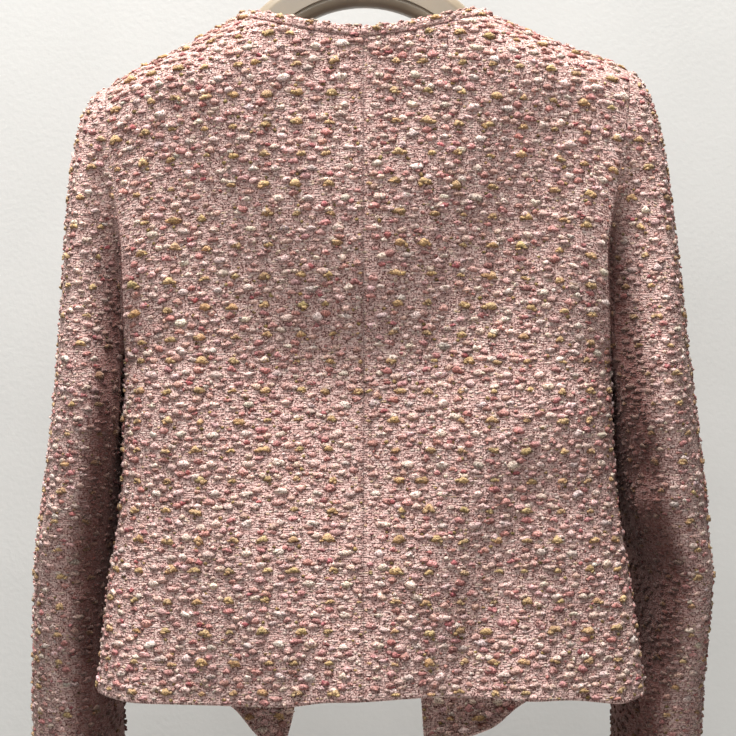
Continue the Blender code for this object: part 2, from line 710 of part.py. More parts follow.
def add_wall(name, outer, inner, material, around=False):
    """Cloth wall between an outer and an inner grid, closed along its edges."""
    rows, columns = outer.shape[:2]
    count = rows * columns
    index = np.arange(count).reshape(rows, columns)
    faces = [triangles(rows, columns, around), triangles(rows, columns, around, count)]
    if around:
        faces += [rim(index[0], count), rim(index[-1], count)]
    else:
        loop = np.concatenate((index[0, :-1], index[:-1, -1], index[-1, :0:-1], index[:0:-1, 0]))
        faces.append(rim(loop, count))
    points = np.concatenate((outer.reshape(-1, 3), inner.reshape(-1, 3)))
    return add_object(name, points, np.concatenate(faces), material)


def add_sweep(name, rings, material):
    """Solid through a row of rings, with a flat face at each end."""
    rows, columns = rings.shape[:2]
    faces = triangles(rows, columns, around=True).tolist()
    faces.append(list(range(columns)))
    faces.append(list(range((rows - 1) * columns, rows * columns)))
    return add_object(name, rings.reshape(-1, 3), faces, material)


def make_material(name):
    """Principled material with the piece's colour, roughness and metallic value."""
    colour, roughness, metallic = MATERIALS[name]
    material = bpy.data.materials.new(name)
    material.use_nodes = True
    shader = material.node_tree.nodes["Principled BSDF"]
    shader.inputs["Base Color"].default_value = colour
    shader.inputs["Roughness"].default_value = roughness
    shader.inputs["Metallic"].default_value = metallic
    return material


def bore_hanger(hanger):
    """Cuts the blind hole in which the hook's stem sits."""
    radius = WIRE / 2 + SEAM_GAP
    top = ARCH_CENTRE_Z + ARCH_RADIUS + BORE_OVERSHOOT
    mesh = bpy.data.meshes.new("stem_bore")
    shape = bmesh.new()
    bmesh.ops.create_cone(shape, cap_ends=True, segments=BORE_SIDES, radius1=radius,
                          radius2=radius, depth=top - BORE_FOOT_Z)
    shape.to_mesh(mesh)
    shape.free()
    cutter = bpy.data.objects.new("stem_bore", mesh)
    cutter.location = (0, 0, (top + BORE_FOOT_Z) / 2)
    cutter.hide_render = True
    cutter.display_type = "WIRE"
    bpy.context.scene.collection.objects.link(cutter)
    cut = hanger.modifiers.new("stem_bore", "BOOLEAN")
    cut.operation = "DIFFERENCE"
    cut.solver = "EXACT"
    cut.object = cutter


def main():
    for obj in list(bpy.data.objects):
        bpy.data.objects.remove(obj)
    tweed = make_material("tweed")
    panels = {(side, face): panel(side, face) for side in (LEFT, RIGHT) for face in (BACK, FRONT)}
    for side in (LEFT, RIGHT):
        label = NAME[side]
        add_wall("back_" + label, *panels[side, BACK], tweed)
        add_wall("front_" + label, *panels[side, FRONT], tweed)
        add_wall("front_facing_" + label, *facing(side, panels), tweed)
        add_wall("sleeve_" + label, *sleeve(side, panels), tweed, around=True)
    add_sweep("neck_binding", neck_binding(panels), tweed)
    bore_hanger(add_sweep("hanger_body", hanger_rings(), make_material("hanger_plastic")))
    add_sweep("hanger_hook", hook_rings(), make_material("hook_steel"))


main()
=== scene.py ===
"""Cropped tweed jacket on its hanger, dressed for rendering.

Everything is in metres, +Z up.  The wearer's left is +X and the front faces -Y.
The origin is the point inside the hook where a rail carries it.

Each cloth piece is a thin wall between two grids of points.  A body panel runs down from
its neck and shoulder edge along level sections of the body, and is moved out or in by a
table of folds.  A sleeve starts on the armhole's own points.  The running lengths along a
grid are the cloth's own coordinates: the weave reads them from a UV map, and the slubs and
yarns are laid by them.
"""

import functools
import math

import bmesh
import bpy
import numpy as np
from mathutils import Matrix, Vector


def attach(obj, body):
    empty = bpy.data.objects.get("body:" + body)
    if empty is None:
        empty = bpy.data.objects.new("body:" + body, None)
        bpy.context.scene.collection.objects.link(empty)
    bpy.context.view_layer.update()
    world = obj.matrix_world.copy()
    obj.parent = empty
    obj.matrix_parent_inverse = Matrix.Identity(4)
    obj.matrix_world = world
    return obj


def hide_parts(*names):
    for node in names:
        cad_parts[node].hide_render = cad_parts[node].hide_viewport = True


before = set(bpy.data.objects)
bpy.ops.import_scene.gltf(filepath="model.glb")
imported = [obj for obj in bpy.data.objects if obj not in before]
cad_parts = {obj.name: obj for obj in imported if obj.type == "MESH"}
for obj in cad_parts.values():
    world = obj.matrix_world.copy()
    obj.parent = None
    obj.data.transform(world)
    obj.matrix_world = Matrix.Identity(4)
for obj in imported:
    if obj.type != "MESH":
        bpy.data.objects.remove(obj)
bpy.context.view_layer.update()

bl_info = {
    "name": "Tweed jacket on a hanger",
    "version": (1, 0, 0),
    "blender": (4, 5, 0),
    "location": "View3D > Sidebar > Jacket",
    "description": "Cropped tweed jacket with its slubs, seams and folds, on a moulded hanger",
    "category": "Object",
}

LEFT = 1
RIGHT = -1
BACK = 1
FRONT = -1
NAME = {LEFT: "left", RIGHT: "right"}
FACE = {BACK: "back", FRONT: "front"}

# Seams and hems: gaps between pieces, how cloth sinks into a seam and the painted shade that
# gives, the turned hem's depth, extra thickness and step, and how far free edges stand out.
SEAM_GAP = 0.00003
ARMHOLE_GAP = 0.00045
SEAM_DIP = 0.0011
SEAM_SOFT = 0.0034
DIP_POWER = 1.5
SEAM_PAINTED_SHADE = 0.35
ARMHOLE_SHARE = 0.35
NEARLY_LEVEL = 1e-4
HEM_DEPTH = 0.028
HEM_EXTRA = 0.0012
HEM_STEP = 0.004
EDGE_ROUND = 0.0009

# Levels and neck: the shoulder tips, the underarm, the neck's edge with the power of its
# curve, how the surface rounds off at the shoulder, and the powers of the level sections.
SHOULDER_TIP = {LEFT: 0.188, RIGHT: 0.1935}
UNDERARM_Z = -0.350
BACK_NECK_Z = -0.1175
FRONT_NECK_Z = -0.1815
NECK_HALF = 0.095
NECK = {BACK: (BACK_NECK_Z, 1.7), FRONT: (FRONT_NECK_Z, 3.2)}
SHOULDER_DEPTH = 0.060
SHOULDER_POWER = 3.0
SIDE_POWER = {BACK: 2.7, FRONT: 2.5}
ARMHOLE_TURN = math.radians(42.0)

# Grids: places of the first and last lines next to a seam, as lengths or shares, how many
# lie between, and how far they crowd towards a seam.
NEAR_SEAM = (0.0011, 0.0026)
NECK_STEPS = 28
SHOULDER_STEPS = 32
NECK_COLUMNS = NECK_STEPS + len(NEAR_SEAM)
CROWDING = 0.25
TOP_ROWS = (0.0045, 0.0100)
ARMHOLE_ROWS = 75
SIDE_ROWS = 72
HEM_ROWS = (0.0045, 0.0110)
CUFF_SHARE = 0.75
HEAD_TOP = (0.006, 0.014)
HEAD_ROWS = 44
ARM_ROWS = 96
SECTION_STEPS = 97
SECTION_LEVELS = 400
# Rounds that find the hem, the step that slopes are taken over, and how many faces show
# which way round a wall was made.
HEM_ROUNDS = 12
SLOPE_STEP = 0.0005
WAY_FACES = 1000

# Sleeve: levels of its ends, form of its sections, room beside the body and the head's pull.
BICEPS_Z = -0.400
CUFF_Z = -0.718
SLEEVE_POWER = 2.3
SLEEVE_CLEARANCE = 0.0030
SLEEVE_SOFTNESS = 0.0030
HEAD_PULL = 1.2
HEAD_PARTS = 0.6
FOLDS_START = 0.060
# The crease beside the armhole: its pull inwards, its place and half-width in degrees.
VALLEY = 0.135
VALLEY_PLACE = 112.0
VALLEY_HALF = 36.0
# Painted shade on the sleeve's inside, by the body: how far round from its innermost line, in
# degrees, and how softly it ends; the level where it starts, and how much lower it is full.
PAINTED_SHADE_ANGLE = 98.0
PAINTED_SHADE_SOFT = 40.0
PAINTED_SHADE_TOP = -0.185
PAINTED_SHADE_DEPTH = 0.050

# Neck binding: its section, how far it starts below the edge and sits in, the length of cloth
# round it, and its swellings.  Then the strips inside the fronts.
BINDING_HEIGHT = 0.0068
BINDING_THICKNESS = 0.0034
BINDING_FOOT = -0.02
BINDING_SET_IN = 0.001
BINDING_GIRTH = 0.0185
BINDING_SIDES = 20
BINDING_POWER = 2.6
SWELL = 0.06
SWELL_LENGTHS = (0.0047, 0.017)
FACING_WIDTH = 0.079
FACING_SETBACK = 0.0012

# Hanger and hook: the arch and where it gives way to the arms, the tips, the grids, the
# hook's wire and arcs, and the bore for its stem.
ARCH_CENTRE_Z = -0.171
ARCH_RADIUS = 0.113
ARCH_ENDS = 0.078
ARM_STARTS = 0.112
ARM_CLEARANCE = 0.0008
ARM_TIP = {LEFT: 0.179, RIGHT: 0.185}
TIP_ROUND = 0.008
TIP_TURNS = np.radians((90, 80, 70, 60, 50, 40, 30, 20, 10))
TIP_END = 0.04
HANGER_STATIONS = 181
SECTION_FINE = 8
SHARP_ANGLE = math.radians(45.0)
WIRE_SIDES = 28
WIRE_TIP = (0.97, 0.90, 0.78, 0.6)
HOOK_INSIDE = 0.019
HOOK_BEND = math.radians(60.0)
HOOK_ENDS = math.radians(197.0)
BEND_STEPS = 24
HOOK_STEPS = 110
STEM_FOOT_Z = -0.0700
BORE_FOOT_Z = -0.0705
BORE_SIDES = 48
BORE_OVERSHOOT = 0.004

# Finding a place on cloth: rounds, how near is there, and the longest step in grid cells.
FIND_ROUNDS = 30
FIND_NEAR = 0.0006
FIND_STEP = 8

# Each piece of cloth: seed of its slubs, the rectangle that it is cut from, and its flat area.
CLOTH_PIECES = {
    "back_left": (11, (0.232, 0.500), 0.0945),
    "back_right": (12, (0.240, 0.500), 0.0973),
    "front_left": (13, (0.215, 0.570), 0.0875),
    "front_right": (14, (0.222, 0.570), 0.0940),
    "sleeve_left": (15, (0.340, 0.580), 0.1365),
    "sleeve_right": (16, (0.345, 0.590), 0.1390),
    "front_facing_left": (17, (0.085, 0.500), 0.0335),
    "front_facing_right": (18, (0.085, 0.500), 0.0345),
    "neck_binding": (19, (0.455, 0.0105), None),
}

# Studio: floor and wall, then each light's place, aim and size.
GROUND_HALF = 2.5
GROUND_FRONT = 3.0
FLOOR_Z = -1.70
WALL_Y = -0.34
WALL_TOP = 2.2
GROUND_BEND = 0.35
GROUND_COLUMNS = 9
GROUND_ROWS = 13
SENSOR_WIDTH = 36.0
KEY_LIGHT = ((0.28, 0.58, 2.05), (0.0, 0.0, -0.35), 1.20)
FILL_LIGHT = ((0.10, 1.10, 0.15), (0.0, 0.0, -0.30), 0.50)
KEY_COLOUR = (1.0, 0.98, 0.95)
SKY_COLOUR = (0.92, 0.95, 1.0)


def table(names, rows):
    """Columns of a table of sizes, by name."""
    return dict(zip(names.split(), np.array(rows, float).T))


# Shoulder line seen from behind; it goes on past the neck, where no cloth is.
SHOULDER = table("x left right", [
    (0.000, -0.0450, -0.0450),
    (0.095, -0.0965, -0.0940),
    (0.108, -0.1045, -0.1003),
    (0.134, -0.1183, -0.1113),
    (0.158, -0.1300, -0.1203),
    (0.180, -0.1418, -0.1277),
    (0.194, -0.1515, -0.1345),
])

# Half-width at the armhole's edge, and below the underarm at the side seam.
EDGE = table("z left right", [
    (-0.090, 0.190, 0.196),
    (-0.1345, 0.1885, 0.1935),
    (-0.1475, 0.188, 0.1925),
    (-0.175, 0.186, 0.190),
    (-0.200, 0.183, 0.186),
    (-0.235, 0.178, 0.180),
    (-0.270, 0.175, 0.176),
    (-0.306, 0.1745, 0.178),
    (-0.350, 0.1765, 0.1820),
    (-0.400, 0.1775, 0.1835),
    (-0.431, 0.1780, 0.1848),
    (-0.462, 0.1802, 0.1878),
    (-0.512, 0.1872, 0.1952),
    (-0.547, 0.1905, 0.1997),
    (-0.593, 0.1948, 0.2052),
    (-0.620, 0.1970, 0.2080),
])

# Depth of the middle of the back, the side seam and the middle of the front.
DEPTH = table("z back side front", [
    (-0.090, 0.047, 0.000, -0.042),
    (-0.117, 0.049, 0.000, -0.048),
    (-0.150, 0.052, -0.001, -0.058),
    (-0.200, 0.053, -0.002, -0.070),
    (-0.260, 0.051, -0.003, -0.081),
    (-0.350, 0.046, -0.005, -0.088),
    (-0.420, 0.046, 0.000, -0.087),
    (-0.500, 0.053, 0.007, -0.083),
    (-0.593, 0.062, 0.012, -0.078),
    (-0.660, 0.066, 0.012, -0.075),
])

# Front edge's distance from the middle.
OPENING = table("z left right", [
    (-0.170, 0.022, 0.020),
    (-0.300, 0.024, 0.021),
    (-0.450, 0.034, 0.028),
    (-0.560, 0.047, 0.039),
    (-0.617, 0.0555, 0.0460),
    (-0.660, 0.0670, 0.0490),
])

# Lower edge of the back by its distance from the middle.
BACK_HEM = table("x left right", [
    (0.000, -0.5868, -0.5868),
    (0.024, -0.5877, -0.5866),
    (0.055, -0.5918, -0.5870),
    (0.090, -0.5925, -0.5880),
    (0.135, -0.5915, -0.5893),
    (0.168, -0.5905, -0.5920),
    (0.185, -0.5890, -0.5935),
    (0.205, -0.5880, -0.5895),
])

# Lower edge of the front, which falls in a point at the front corner.
FRONT_HEM = table("x left right", [
    (0.045, -0.6560, -0.6560),
    (0.066, -0.6520, -0.6480),
    (0.083, -0.6400, -0.6405),
    (0.101, -0.6200, -0.6335),
    (0.120, -0.6090, -0.6190),
    (0.145, -0.6005, -0.6050),
    (0.170, -0.5940, -0.5975),
    (0.205, -0.5880, -0.5895),
])

# Soft ridges and troughs: both ends of each, how far it stands out at them, half-width.
BACK_FOLDS = table("x0 z0 x1 z1 out0 out1 half", [
    (0.150, -0.190, 0.048, -0.345, -0.0100, -0.0130, 0.052),
    (-0.150, -0.180, -0.045, -0.345, -0.0100, -0.0120, 0.052),
    (0.155, -0.385, 0.105, -0.465, 0.0060, 0.0050, 0.050),
    (-0.160, -0.385, -0.120, -0.450, 0.0060, 0.0040, 0.048),
    (0.010, -0.385, -0.010, -0.425, -0.0050, -0.0050, 0.045),
    (0.060, -0.440, 0.045, -0.545, 0.0000, 0.0045, 0.035),
    (0.005, -0.510, 0.005, -0.596, 0.0000, 0.0060, 0.024),
    (0.065, -0.545, 0.100, -0.596, -0.0010, -0.0060, 0.034),
    (0.160, -0.520, 0.168, -0.596, 0.0010, 0.0050, 0.020),
    (-0.115, -0.450, -0.060, -0.596, -0.0060, -0.0090, 0.028),
    (-0.088, -0.510, -0.120, -0.596, 0.0020, 0.0060, 0.020),
    (-0.148, -0.545, -0.154, -0.596, -0.0010, -0.0050, 0.018),
    (0.055, -0.370, 0.060, -0.500, -0.0045, 0.0000, 0.050),
    (-0.100, -0.400, -0.110, -0.570, 0.0035, -0.0085, 0.062),
    (0.045, -0.165, -0.045, -0.165, -0.0028, -0.0028, 0.042),
])

FRONT_FOLDS = table("x0 z0 x1 z1 out0 out1 half", [
    (0.080, -0.240, 0.095, -0.400, 0.0010, -0.0040, 0.028),
    (-0.085, -0.230, -0.090, -0.390, 0.0010, -0.0035, 0.028),
    (0.120, -0.420, 0.125, -0.600, 0.0010, 0.0070, 0.024),
    (-0.110, -0.410, -0.128, -0.600, 0.0010, 0.0065, 0.024),
    (0.085, -0.450, 0.080, -0.640, -0.0010, -0.0060, 0.022),
    (-0.075, -0.460, -0.085, -0.640, -0.0010, -0.0065, 0.022),
    (0.160, -0.480, 0.160, -0.596, -0.0010, -0.0045, 0.020),
    (-0.165, -0.470, -0.165, -0.596, -0.0010, -0.0045, 0.020),
])

# Sleeve's level sections: middle, half-width, half-depth, how far its back turns outwards.
SLEEVE = {
    LEFT: table("z x y wide deep lean", [
        (-0.400, 0.2031, -0.028, 0.0290, 0.068, 0.002),
        (-0.450, 0.2099, -0.033, 0.0295, 0.065, 0.002),
        (-0.500, 0.2164, -0.040, 0.0306, 0.061, 0.002),
        (-0.560, 0.2200, -0.050, 0.0309, 0.056, 0.002),
        (-0.620, 0.2216, -0.062, 0.0327, 0.051, 0.002),
        (-0.680, 0.2221, -0.076, 0.0325, 0.047, 0.002),
        (-0.718, 0.2225, -0.085, 0.0319, 0.045, 0.002),
    ]),
    RIGHT: table("z x y wide deep lean", [
        (-0.400, 0.2164, -0.028, 0.0320, 0.067, 0.002),
        (-0.452, 0.2235, -0.034, 0.0310, 0.064, 0.004),
        (-0.480, 0.2266, -0.038, 0.0273, 0.064, 0.008),
        (-0.510, 0.2318, -0.043, 0.0243, 0.063, 0.011),
        (-0.560, 0.2314, -0.052, 0.0248, 0.058, 0.008),
        (-0.620, 0.2269, -0.063, 0.0316, 0.050, 0.004),
        (-0.680, 0.2283, -0.077, 0.0308, 0.046, 0.003),
        (-0.718, 0.2281, -0.086, 0.0299, 0.044, 0.003),
    ]),
}

# How the sleeve leaves the armhole, by the angle round it from the shoulder tip backwards:
# how far outwards on the left and the right side, backwards and upwards.
HEAD_START = table("angle left right back up", [
    (0, 0.125, 0.103, 0.000, -0.022),
    (45, 0.085, 0.076, -0.004, -0.057),
    (90, 0.050, 0.050, -0.010, -0.070),
    (135, 0.020, 0.020, -0.006, -0.060),
    (180, 0.003, 0.003, 0.000, -0.050),
    (225, 0.020, 0.020, 0.010, -0.060),
    (270, 0.060, 0.060, 0.010, -0.065),
    (315, 0.105, 0.090, 0.000, -0.060),
    (360, 0.125, 0.103, 0.000, -0.022),
])

# Sleeve's folds: angle round the arm in degrees, level, how far out, half-width.
SLEEVE_FOLDS = {
    LEFT: table("angle0 z0 angle1 z1 out0 out1 half", [
        (60, -0.300, 75, -0.430, -0.0020, -0.0020, 0.016),
        (100, -0.440, 60, -0.480, 0.0020, 0.0020, 0.016),
        (110, -0.500, 50, -0.530, -0.0030, -0.0015, 0.015),
        (250, -0.480, 310, -0.520, -0.0035, -0.0015, 0.015),
    ]),
    RIGHT: table("angle0 z0 angle1 z1 out0 out1 half", [
        (0, -0.240, 0, -0.335, -0.0030, -0.0032, 0.032),
        (360, -0.240, 360, -0.335, -0.0030, -0.0032, 0.032),
        (110, -0.320, 120, -0.430, -0.0030, -0.0030, 0.014),
        (140, -0.452, 60, -0.440, 0.0040, 0.0015, 0.013),
        (120, -0.490, 60, -0.520, -0.0030, -0.0015, 0.016),
        (240, -0.470, 310, -0.510, -0.0035, -0.0015, 0.015),
    ]),
}

# Hanger: height of its section and half its depth, by the distance from the middle.
HANGER = table("x height depth", [
    (0.000, 0.0290, 0.0100),
    (0.080, 0.0290, 0.0105),
    (0.120, 0.0250, 0.0115),
    (0.160, 0.0200, 0.0120),
    (0.190, 0.0170, 0.0118),
])

# Half of the hanger's section, top to bottom: a rounded top, a flat face, a groove and a lip.
HANGER_SECTION = table("height depth", [
    (1.00, 0.00),
    (0.90, 0.58),
    (0.68, 0.88),
    (0.42, 1.00),
    (-0.42, 1.00),
    (-0.47, 0.87),
    (-0.56, 0.90),
    (-0.86, 0.74),
    (-1.00, 0.40),
])


def through(sizes, key, name, at):
    """A column's value at the given places: smooth pieces through the rows, without overshoot."""
    order = np.argsort(sizes[key])
    x = sizes[key][order]
    y = sizes[name][order]
    step = np.diff(x)
    rise = np.diff(y) / step
    slope = np.concatenate((rise[:1], np.zeros(len(rise) - 1), rise[-1:]))
    both = rise[:-1] * rise[1:]
    same = both > 0
    slope[1:-1][same] = 2 * both[same] / (rise[:-1] + rise[1:])[same]
    at = np.clip(at, x[0], x[-1])
    piece = np.clip(np.searchsorted(x, at) - 1, 0, len(step) - 1)
    t = (at - x[piece]) / step[piece]
    bend = t * (1 - t) * step[piece] * ((1 - t) * slope[piece] - t * slope[piece + 1])
    return y[piece] + t * t * (3 - 2 * t) * (y[piece + 1] - y[piece]) + bend


def ease(t):
    """Zero to one with level ends."""
    t = np.clip(t, 0, 1)
    return t * t * (3 - 2 * t)


def tip_level(side):
    """Level of the shoulder tip."""
    return through(SHOULDER, "x", NAME[side], SHOULDER_TIP[side])


def armhole_angle(side, z):
    """Angle round the armhole at a level: zero at the shoulder tip, pi at the underarm."""
    top = tip_level(side)
    share = np.clip((top - z) / (top - UNDERARM_Z), 0, 1)
    return np.arccos(1 - 2 * share)


def edge_turn(side, z):
    """How far a level section turns before the panel ends: a quarter turn below the underarm."""
    above = math.pi - armhole_angle(side, z)
    return math.pi / 2 - ARMHOLE_TURN * np.sin(np.minimum(above, math.pi / 2))


def unit_section(turn, power):
    """Quarter of a rounded square of half-width one: across and depth at an angle."""
    reach = (np.sin(turn) ** power + np.abs(np.cos(turn)) ** power) ** (-1 / power)
    return np.sin(turn) * reach, np.cos(turn) * reach


def section_sizes(side, face, z):
    """Half-width of the whole level section, and its depth from the side seam's plane."""
    power = SIDE_POWER[face]
    width = through(EDGE, "z", NAME[side], z) / unit_section(edge_turn(side, z), power)[0]
    middle = through(DEPTH, "z", "back" if face == BACK else "front", z)
    return width, np.abs(middle - through(DEPTH, "z", "side", z))


def turn_of(side, face, x, z):
    """Angle on the level section of the point at a distance from the middle."""
    power = SIDE_POWER[face]
    width = section_sizes(side, face, z)[0]
    share = np.clip(x / width, 0, 1)
    return np.arctan2(share, (1 - share ** power) ** (1 / power))


def start_turn(side, face, z):
    """Angle at which the panel starts: the centre back, or the front edge."""
    if face == BACK:
        return np.zeros_like(z)
    return turn_of(side, face, through(OPENING, "z", NAME[side], z), z)


def lengths(side, face, z, stop):
    """Running length of the level section from the panel's start to an angle."""
    steps = np.linspace(0, 1, SECTION_STEPS)
    start = start_turn(side, face, z)
    turns = start[..., None] + (stop - start)[..., None] * steps
    width, depth = section_sizes(side, face, z)
    across, deep = unit_section(turns, SIDE_POWER[face])
    run = np.hypot(np.diff(across * width[..., None]), np.diff(deep * depth[..., None]))
    total = np.concatenate((np.zeros_like(run[..., :1]), np.cumsum(run, -1)), -1)
    return turns, total


def share_of(side, face, x, z):
    """Share of the panel's width at which a point lies, measured round the section."""
    part = lengths(side, face, z, turn_of(side, face, x, z))[1][..., -1]
    whole = lengths(side, face, z, edge_turn(side, z))[1][..., -1]
    return part / whole


def turn_at(side, face, share, z):
    """Angle on the section at a share of the panel's width."""
    turns, run = lengths(side, face, z, edge_turn(side, z))
    aim = share * run[..., -1]
    upper = np.clip((run < aim[..., None]).sum(-1), 1, run.shape[-1] - 1)[..., None]
    run1 = np.take_along_axis(run, upper, -1)[..., 0]
    run0 = np.take_along_axis(run, upper - 1, -1)[..., 0]
    turn1 = np.take_along_axis(turns, upper, -1)[..., 0]
    turn0 = np.take_along_axis(turns, upper - 1, -1)[..., 0]
    return turn0 + (turn1 - turn0) * (aim - run0) / (run1 - run0)


def folds(rows, x, z):
    """Sum of the table's soft ridges: each falls off evenly to both sides of its line."""
    out = np.zeros_like(x)
    for x0, z0, x1, z1, out0, out1, half in zip(*rows.values()):
        along = ((x - x0) * (x1 - x0) + (z - z0) * (z1 - z0)) / ((x1 - x0) ** 2 + (z1 - z0) ** 2)
        along = np.clip(along, 0, 1)
        away = np.hypot(x - x0 - along * (x1 - x0), z - z0 - along * (z1 - z0))
        out += (out0 + (out1 - out0) * ease(along)) * np.exp(-(away / half) ** 2)
    return out


def body_point(side, face, share, z):
    """Point of the body's outer surface at a share of the panel's width and a level.

    The depth is rounded off towards the shoulder line, and the folds die out at the side.
    """
    turn = turn_at(side, face, share, z)
    width, depth = section_sizes(side, face, z)
    across, deep = unit_section(turn, SIDE_POWER[face])
    x = across * width
    fold = folds(BACK_FOLDS if face == BACK else FRONT_FOLDS, side * x, z) * deep * (2 - deep)
    below = through(SHOULDER, "x", NAME[side], x) - z
    rounding = np.sqrt(1 - (1 - np.clip(below / SHOULDER_DEPTH, 0, 1)) ** SHOULDER_POWER)
    y = through(DEPTH, "z", "side", z) + face * (depth * deep + fold)
    return np.stack((side * x, y * rounding, z), -1)


def top_edge(side, face):
    """Distance from the middle and level of each column's top: neck edge, then shoulder seam.

    The neck is swung off a quarter turn, so its columns crowd where it climbs; the first and
    last columns lie close to the seams.
    """
    tip = SHOULDER_TIP[side]
    start = 0.0 if face == BACK else through(OPENING, "z", NAME[side], FRONT_NECK_Z)
    swing = np.linspace(math.asin(start / NECK_HALF), math.pi / 2, NECK_STEPS + 1)
    neck = NECK_HALF * np.sin(swing)
    neck = np.concatenate((neck[:1], start + np.array(NEAR_SEAM), neck[1:]))
    part = np.linspace(0, 1, SHOULDER_STEPS + 1)[1:]
    part = part * (1 + CROWDING * (1 - part))
    x = np.concatenate((neck, NECK_HALF + (tip - NECK_HALF) * part))
    x = np.concatenate((x[:-2], tip - np.array(NEAR_SEAM)[::-1], x[-1:]))
    z = through(SHOULDER, "x", NAME[side], x)
    middle, power = NECK[face]
    rise = (neck / NECK_HALF) ** power
    z[:NECK_COLUMNS + 1] = middle + (z[NECK_COLUMNS] - middle) * rise
    return x, z


def hem_level(side, face, share):
    """Level of the hem in each column, found where the column meets the hem's line."""
    rows = BACK_HEM if face == BACK else FRONT_HEM
    z = np.full_like(share, UNDERARM_Z)
    for _ in range(HEM_ROUNDS):
        x = np.abs(body_point(side, face, share, z)[..., 0])
        z = 0.5 * (z + through(rows, "x", NAME[side], x))
    return z


def levels(top, hem):
    """Levels of the grid's rows in each column, closer together where the cloth turns.

    Down to the underarm they follow (3 - 2 cos(a quarter turn t) - cos(half a turn t)) / 4.
    """
    t = np.linspace(0, 1, ARMHOLE_ROWS + 1)
    t = np.concatenate((t[:1], TOP_ROWS, t[1:]))[:, None]
    down = (3 - 2 * np.cos(math.pi / 2 * t) - np.cos(math.pi * t)) / 4
    upper = top + (UNDERARM_Z - top) * down
    t = np.linspace(0, 1, SIDE_ROWS + 1)[1:]
    t = np.concatenate((t[:-1], 1 - np.array(HEM_ROWS)[::-1], t[-1:]))[:, None]
    return np.concatenate((upper, UNDERARM_Z + (hem - UNDERARM_Z) * t))


def unit(vectors):
    """Vectors of the same directions, one long."""
    return vectors / np.linalg.norm(vectors, axis=-1, keepdims=True)


def tangents(points, axis):
    """Direction along a grid at each point, midway between the steps before and after it."""
    step = unit(np.diff(points, axis=axis))
    first, last = np.take(step, [0], axis), np.take(step, [-1], axis)
    return np.concatenate((first, step), axis) + np.concatenate((step, last), axis)


def grid_normals(points, outward, around=False):
    """Unit normals of a grid, turned to the side that the outward direction points to."""
    if around:
        closed = np.concatenate((points[:, -1:], points, points[:, :1]), 1)
        across = tangents(closed, 1)[:, 1:-1]
    else:
        across = tangents(points, 1)
    normal = unit(np.cross(across, tangents(points, 0)))
    return normal * np.sign((normal * outward).sum(-1).mean())


def running(points, axis):
    """Running length along a grid from its first line, in metres."""
    step = np.linalg.norm(np.diff(points, axis=axis), axis=-1)
    return np.concatenate((np.zeros_like(np.take(step, [0], axis)), np.cumsum(step, axis)), axis)


def dip(away):
    """How far cloth sinks into a seam at a distance from it: deepest at the seam, then level."""
    return SEAM_DIP * (1 - ease(away / SEAM_SOFT)) ** DIP_POWER


@functools.lru_cache(None)
def panel(side, face):
    """One body panel: outer and inner grid, cloth coordinates, and the plain outer surface.

    The outer grid is the body's surface less the dips along its seams.  The inner grid lies a
    cloth's thickness behind, and a little more within the turned hem.
    """
    cloth = bpy.context.scene.jacket_cloth
    x, top = top_edge(side, face)
    share = share_of(side, face, x, top)
    share[-1] = 1.0
    z = levels(top, hem_level(side, face, share))
    outer = body_point(side, face, np.broadcast_to(share, z.shape), z)
    normal = grid_normals(outer, np.array((0, face, 0)))
    shoulder = NECK_COLUMNS
    underarm = ARMHOLE_ROWS + len(TOP_ROWS)
    # Along a seam the normals lie in the seam's plane, and the points half a gap off it.
    normal[0, shoulder:, 1] = 0
    normal[0, shoulder:, 2] += NEARLY_LEVEL
    normal[underarm:, -1, 1] = 0
    if face == BACK:
        normal[:, 0, 0] = 0
    normal = unit(normal)
    outer[0, shoulder:, 1] = face * SEAM_GAP / 2
    seam = through(DEPTH, "z", "side", outer[underarm:, -1, 2])
    outer[underarm:, -1, 1] = seam + face * SEAM_GAP / 2
    if face == BACK:
        outer[:, 0, 0] = side * SEAM_GAP / 2
    # Dips along the seams, shallower along the armhole, and the turned hem's thickness.
    across = running(outer, 1)
    down = running(outer, 0)
    start = across[:, :1] * 0
    if face == FRONT:
        start = through(OPENING, "z", NAME[side], outer[:, :1, 2])
    to_side = across[:, -1:] - across
    to_hem = down[-1:] - down
    sink = np.maximum(dip(to_side), dip(down))
    sink[:underarm] = np.maximum(ARMHOLE_SHARE * dip(to_side[:underarm]), dip(down[:underarm]))
    if face == BACK:
        sink = np.maximum(sink, dip(across))
    fold = HEM_EXTRA * (1 - ease((to_hem - HEM_DEPTH) / HEM_STEP))
    plain = outer.copy()
    outer = outer - sink[..., None] * normal
    inner = plain - (cloth.thickness + fold)[..., None] * normal
    weave = np.stack((side * face * (start + across), down[underarm] - down), -1)
    return outer, inner, weave, plain, normal


def sleeve_ring(side, angle, z):
    """Level section of the hanging sleeve: angle zero is outermost, a quarter turn is behind.

    A rounded oval: (|cos|^p + |sin|^p)^(-1/p) times the half-width and half-depth.
    """
    sizes = SLEEVE[side]
    turn_x = np.cos(angle)
    turn_y = np.sin(angle)
    reach = np.abs(turn_x) ** SLEEVE_POWER + np.abs(turn_y) ** SLEEVE_POWER
    reach = reach ** (-1 / SLEEVE_POWER)
    x = through(sizes, "z", "x", z) + through(sizes, "z", "wide", z) * turn_x * reach
    x = x + through(sizes, "z", "lean", z) * turn_y * reach
    y = through(sizes, "z", "y", z) + through(sizes, "z", "deep", z) * turn_y * reach
    return np.stack((side * x, y, z), -1)


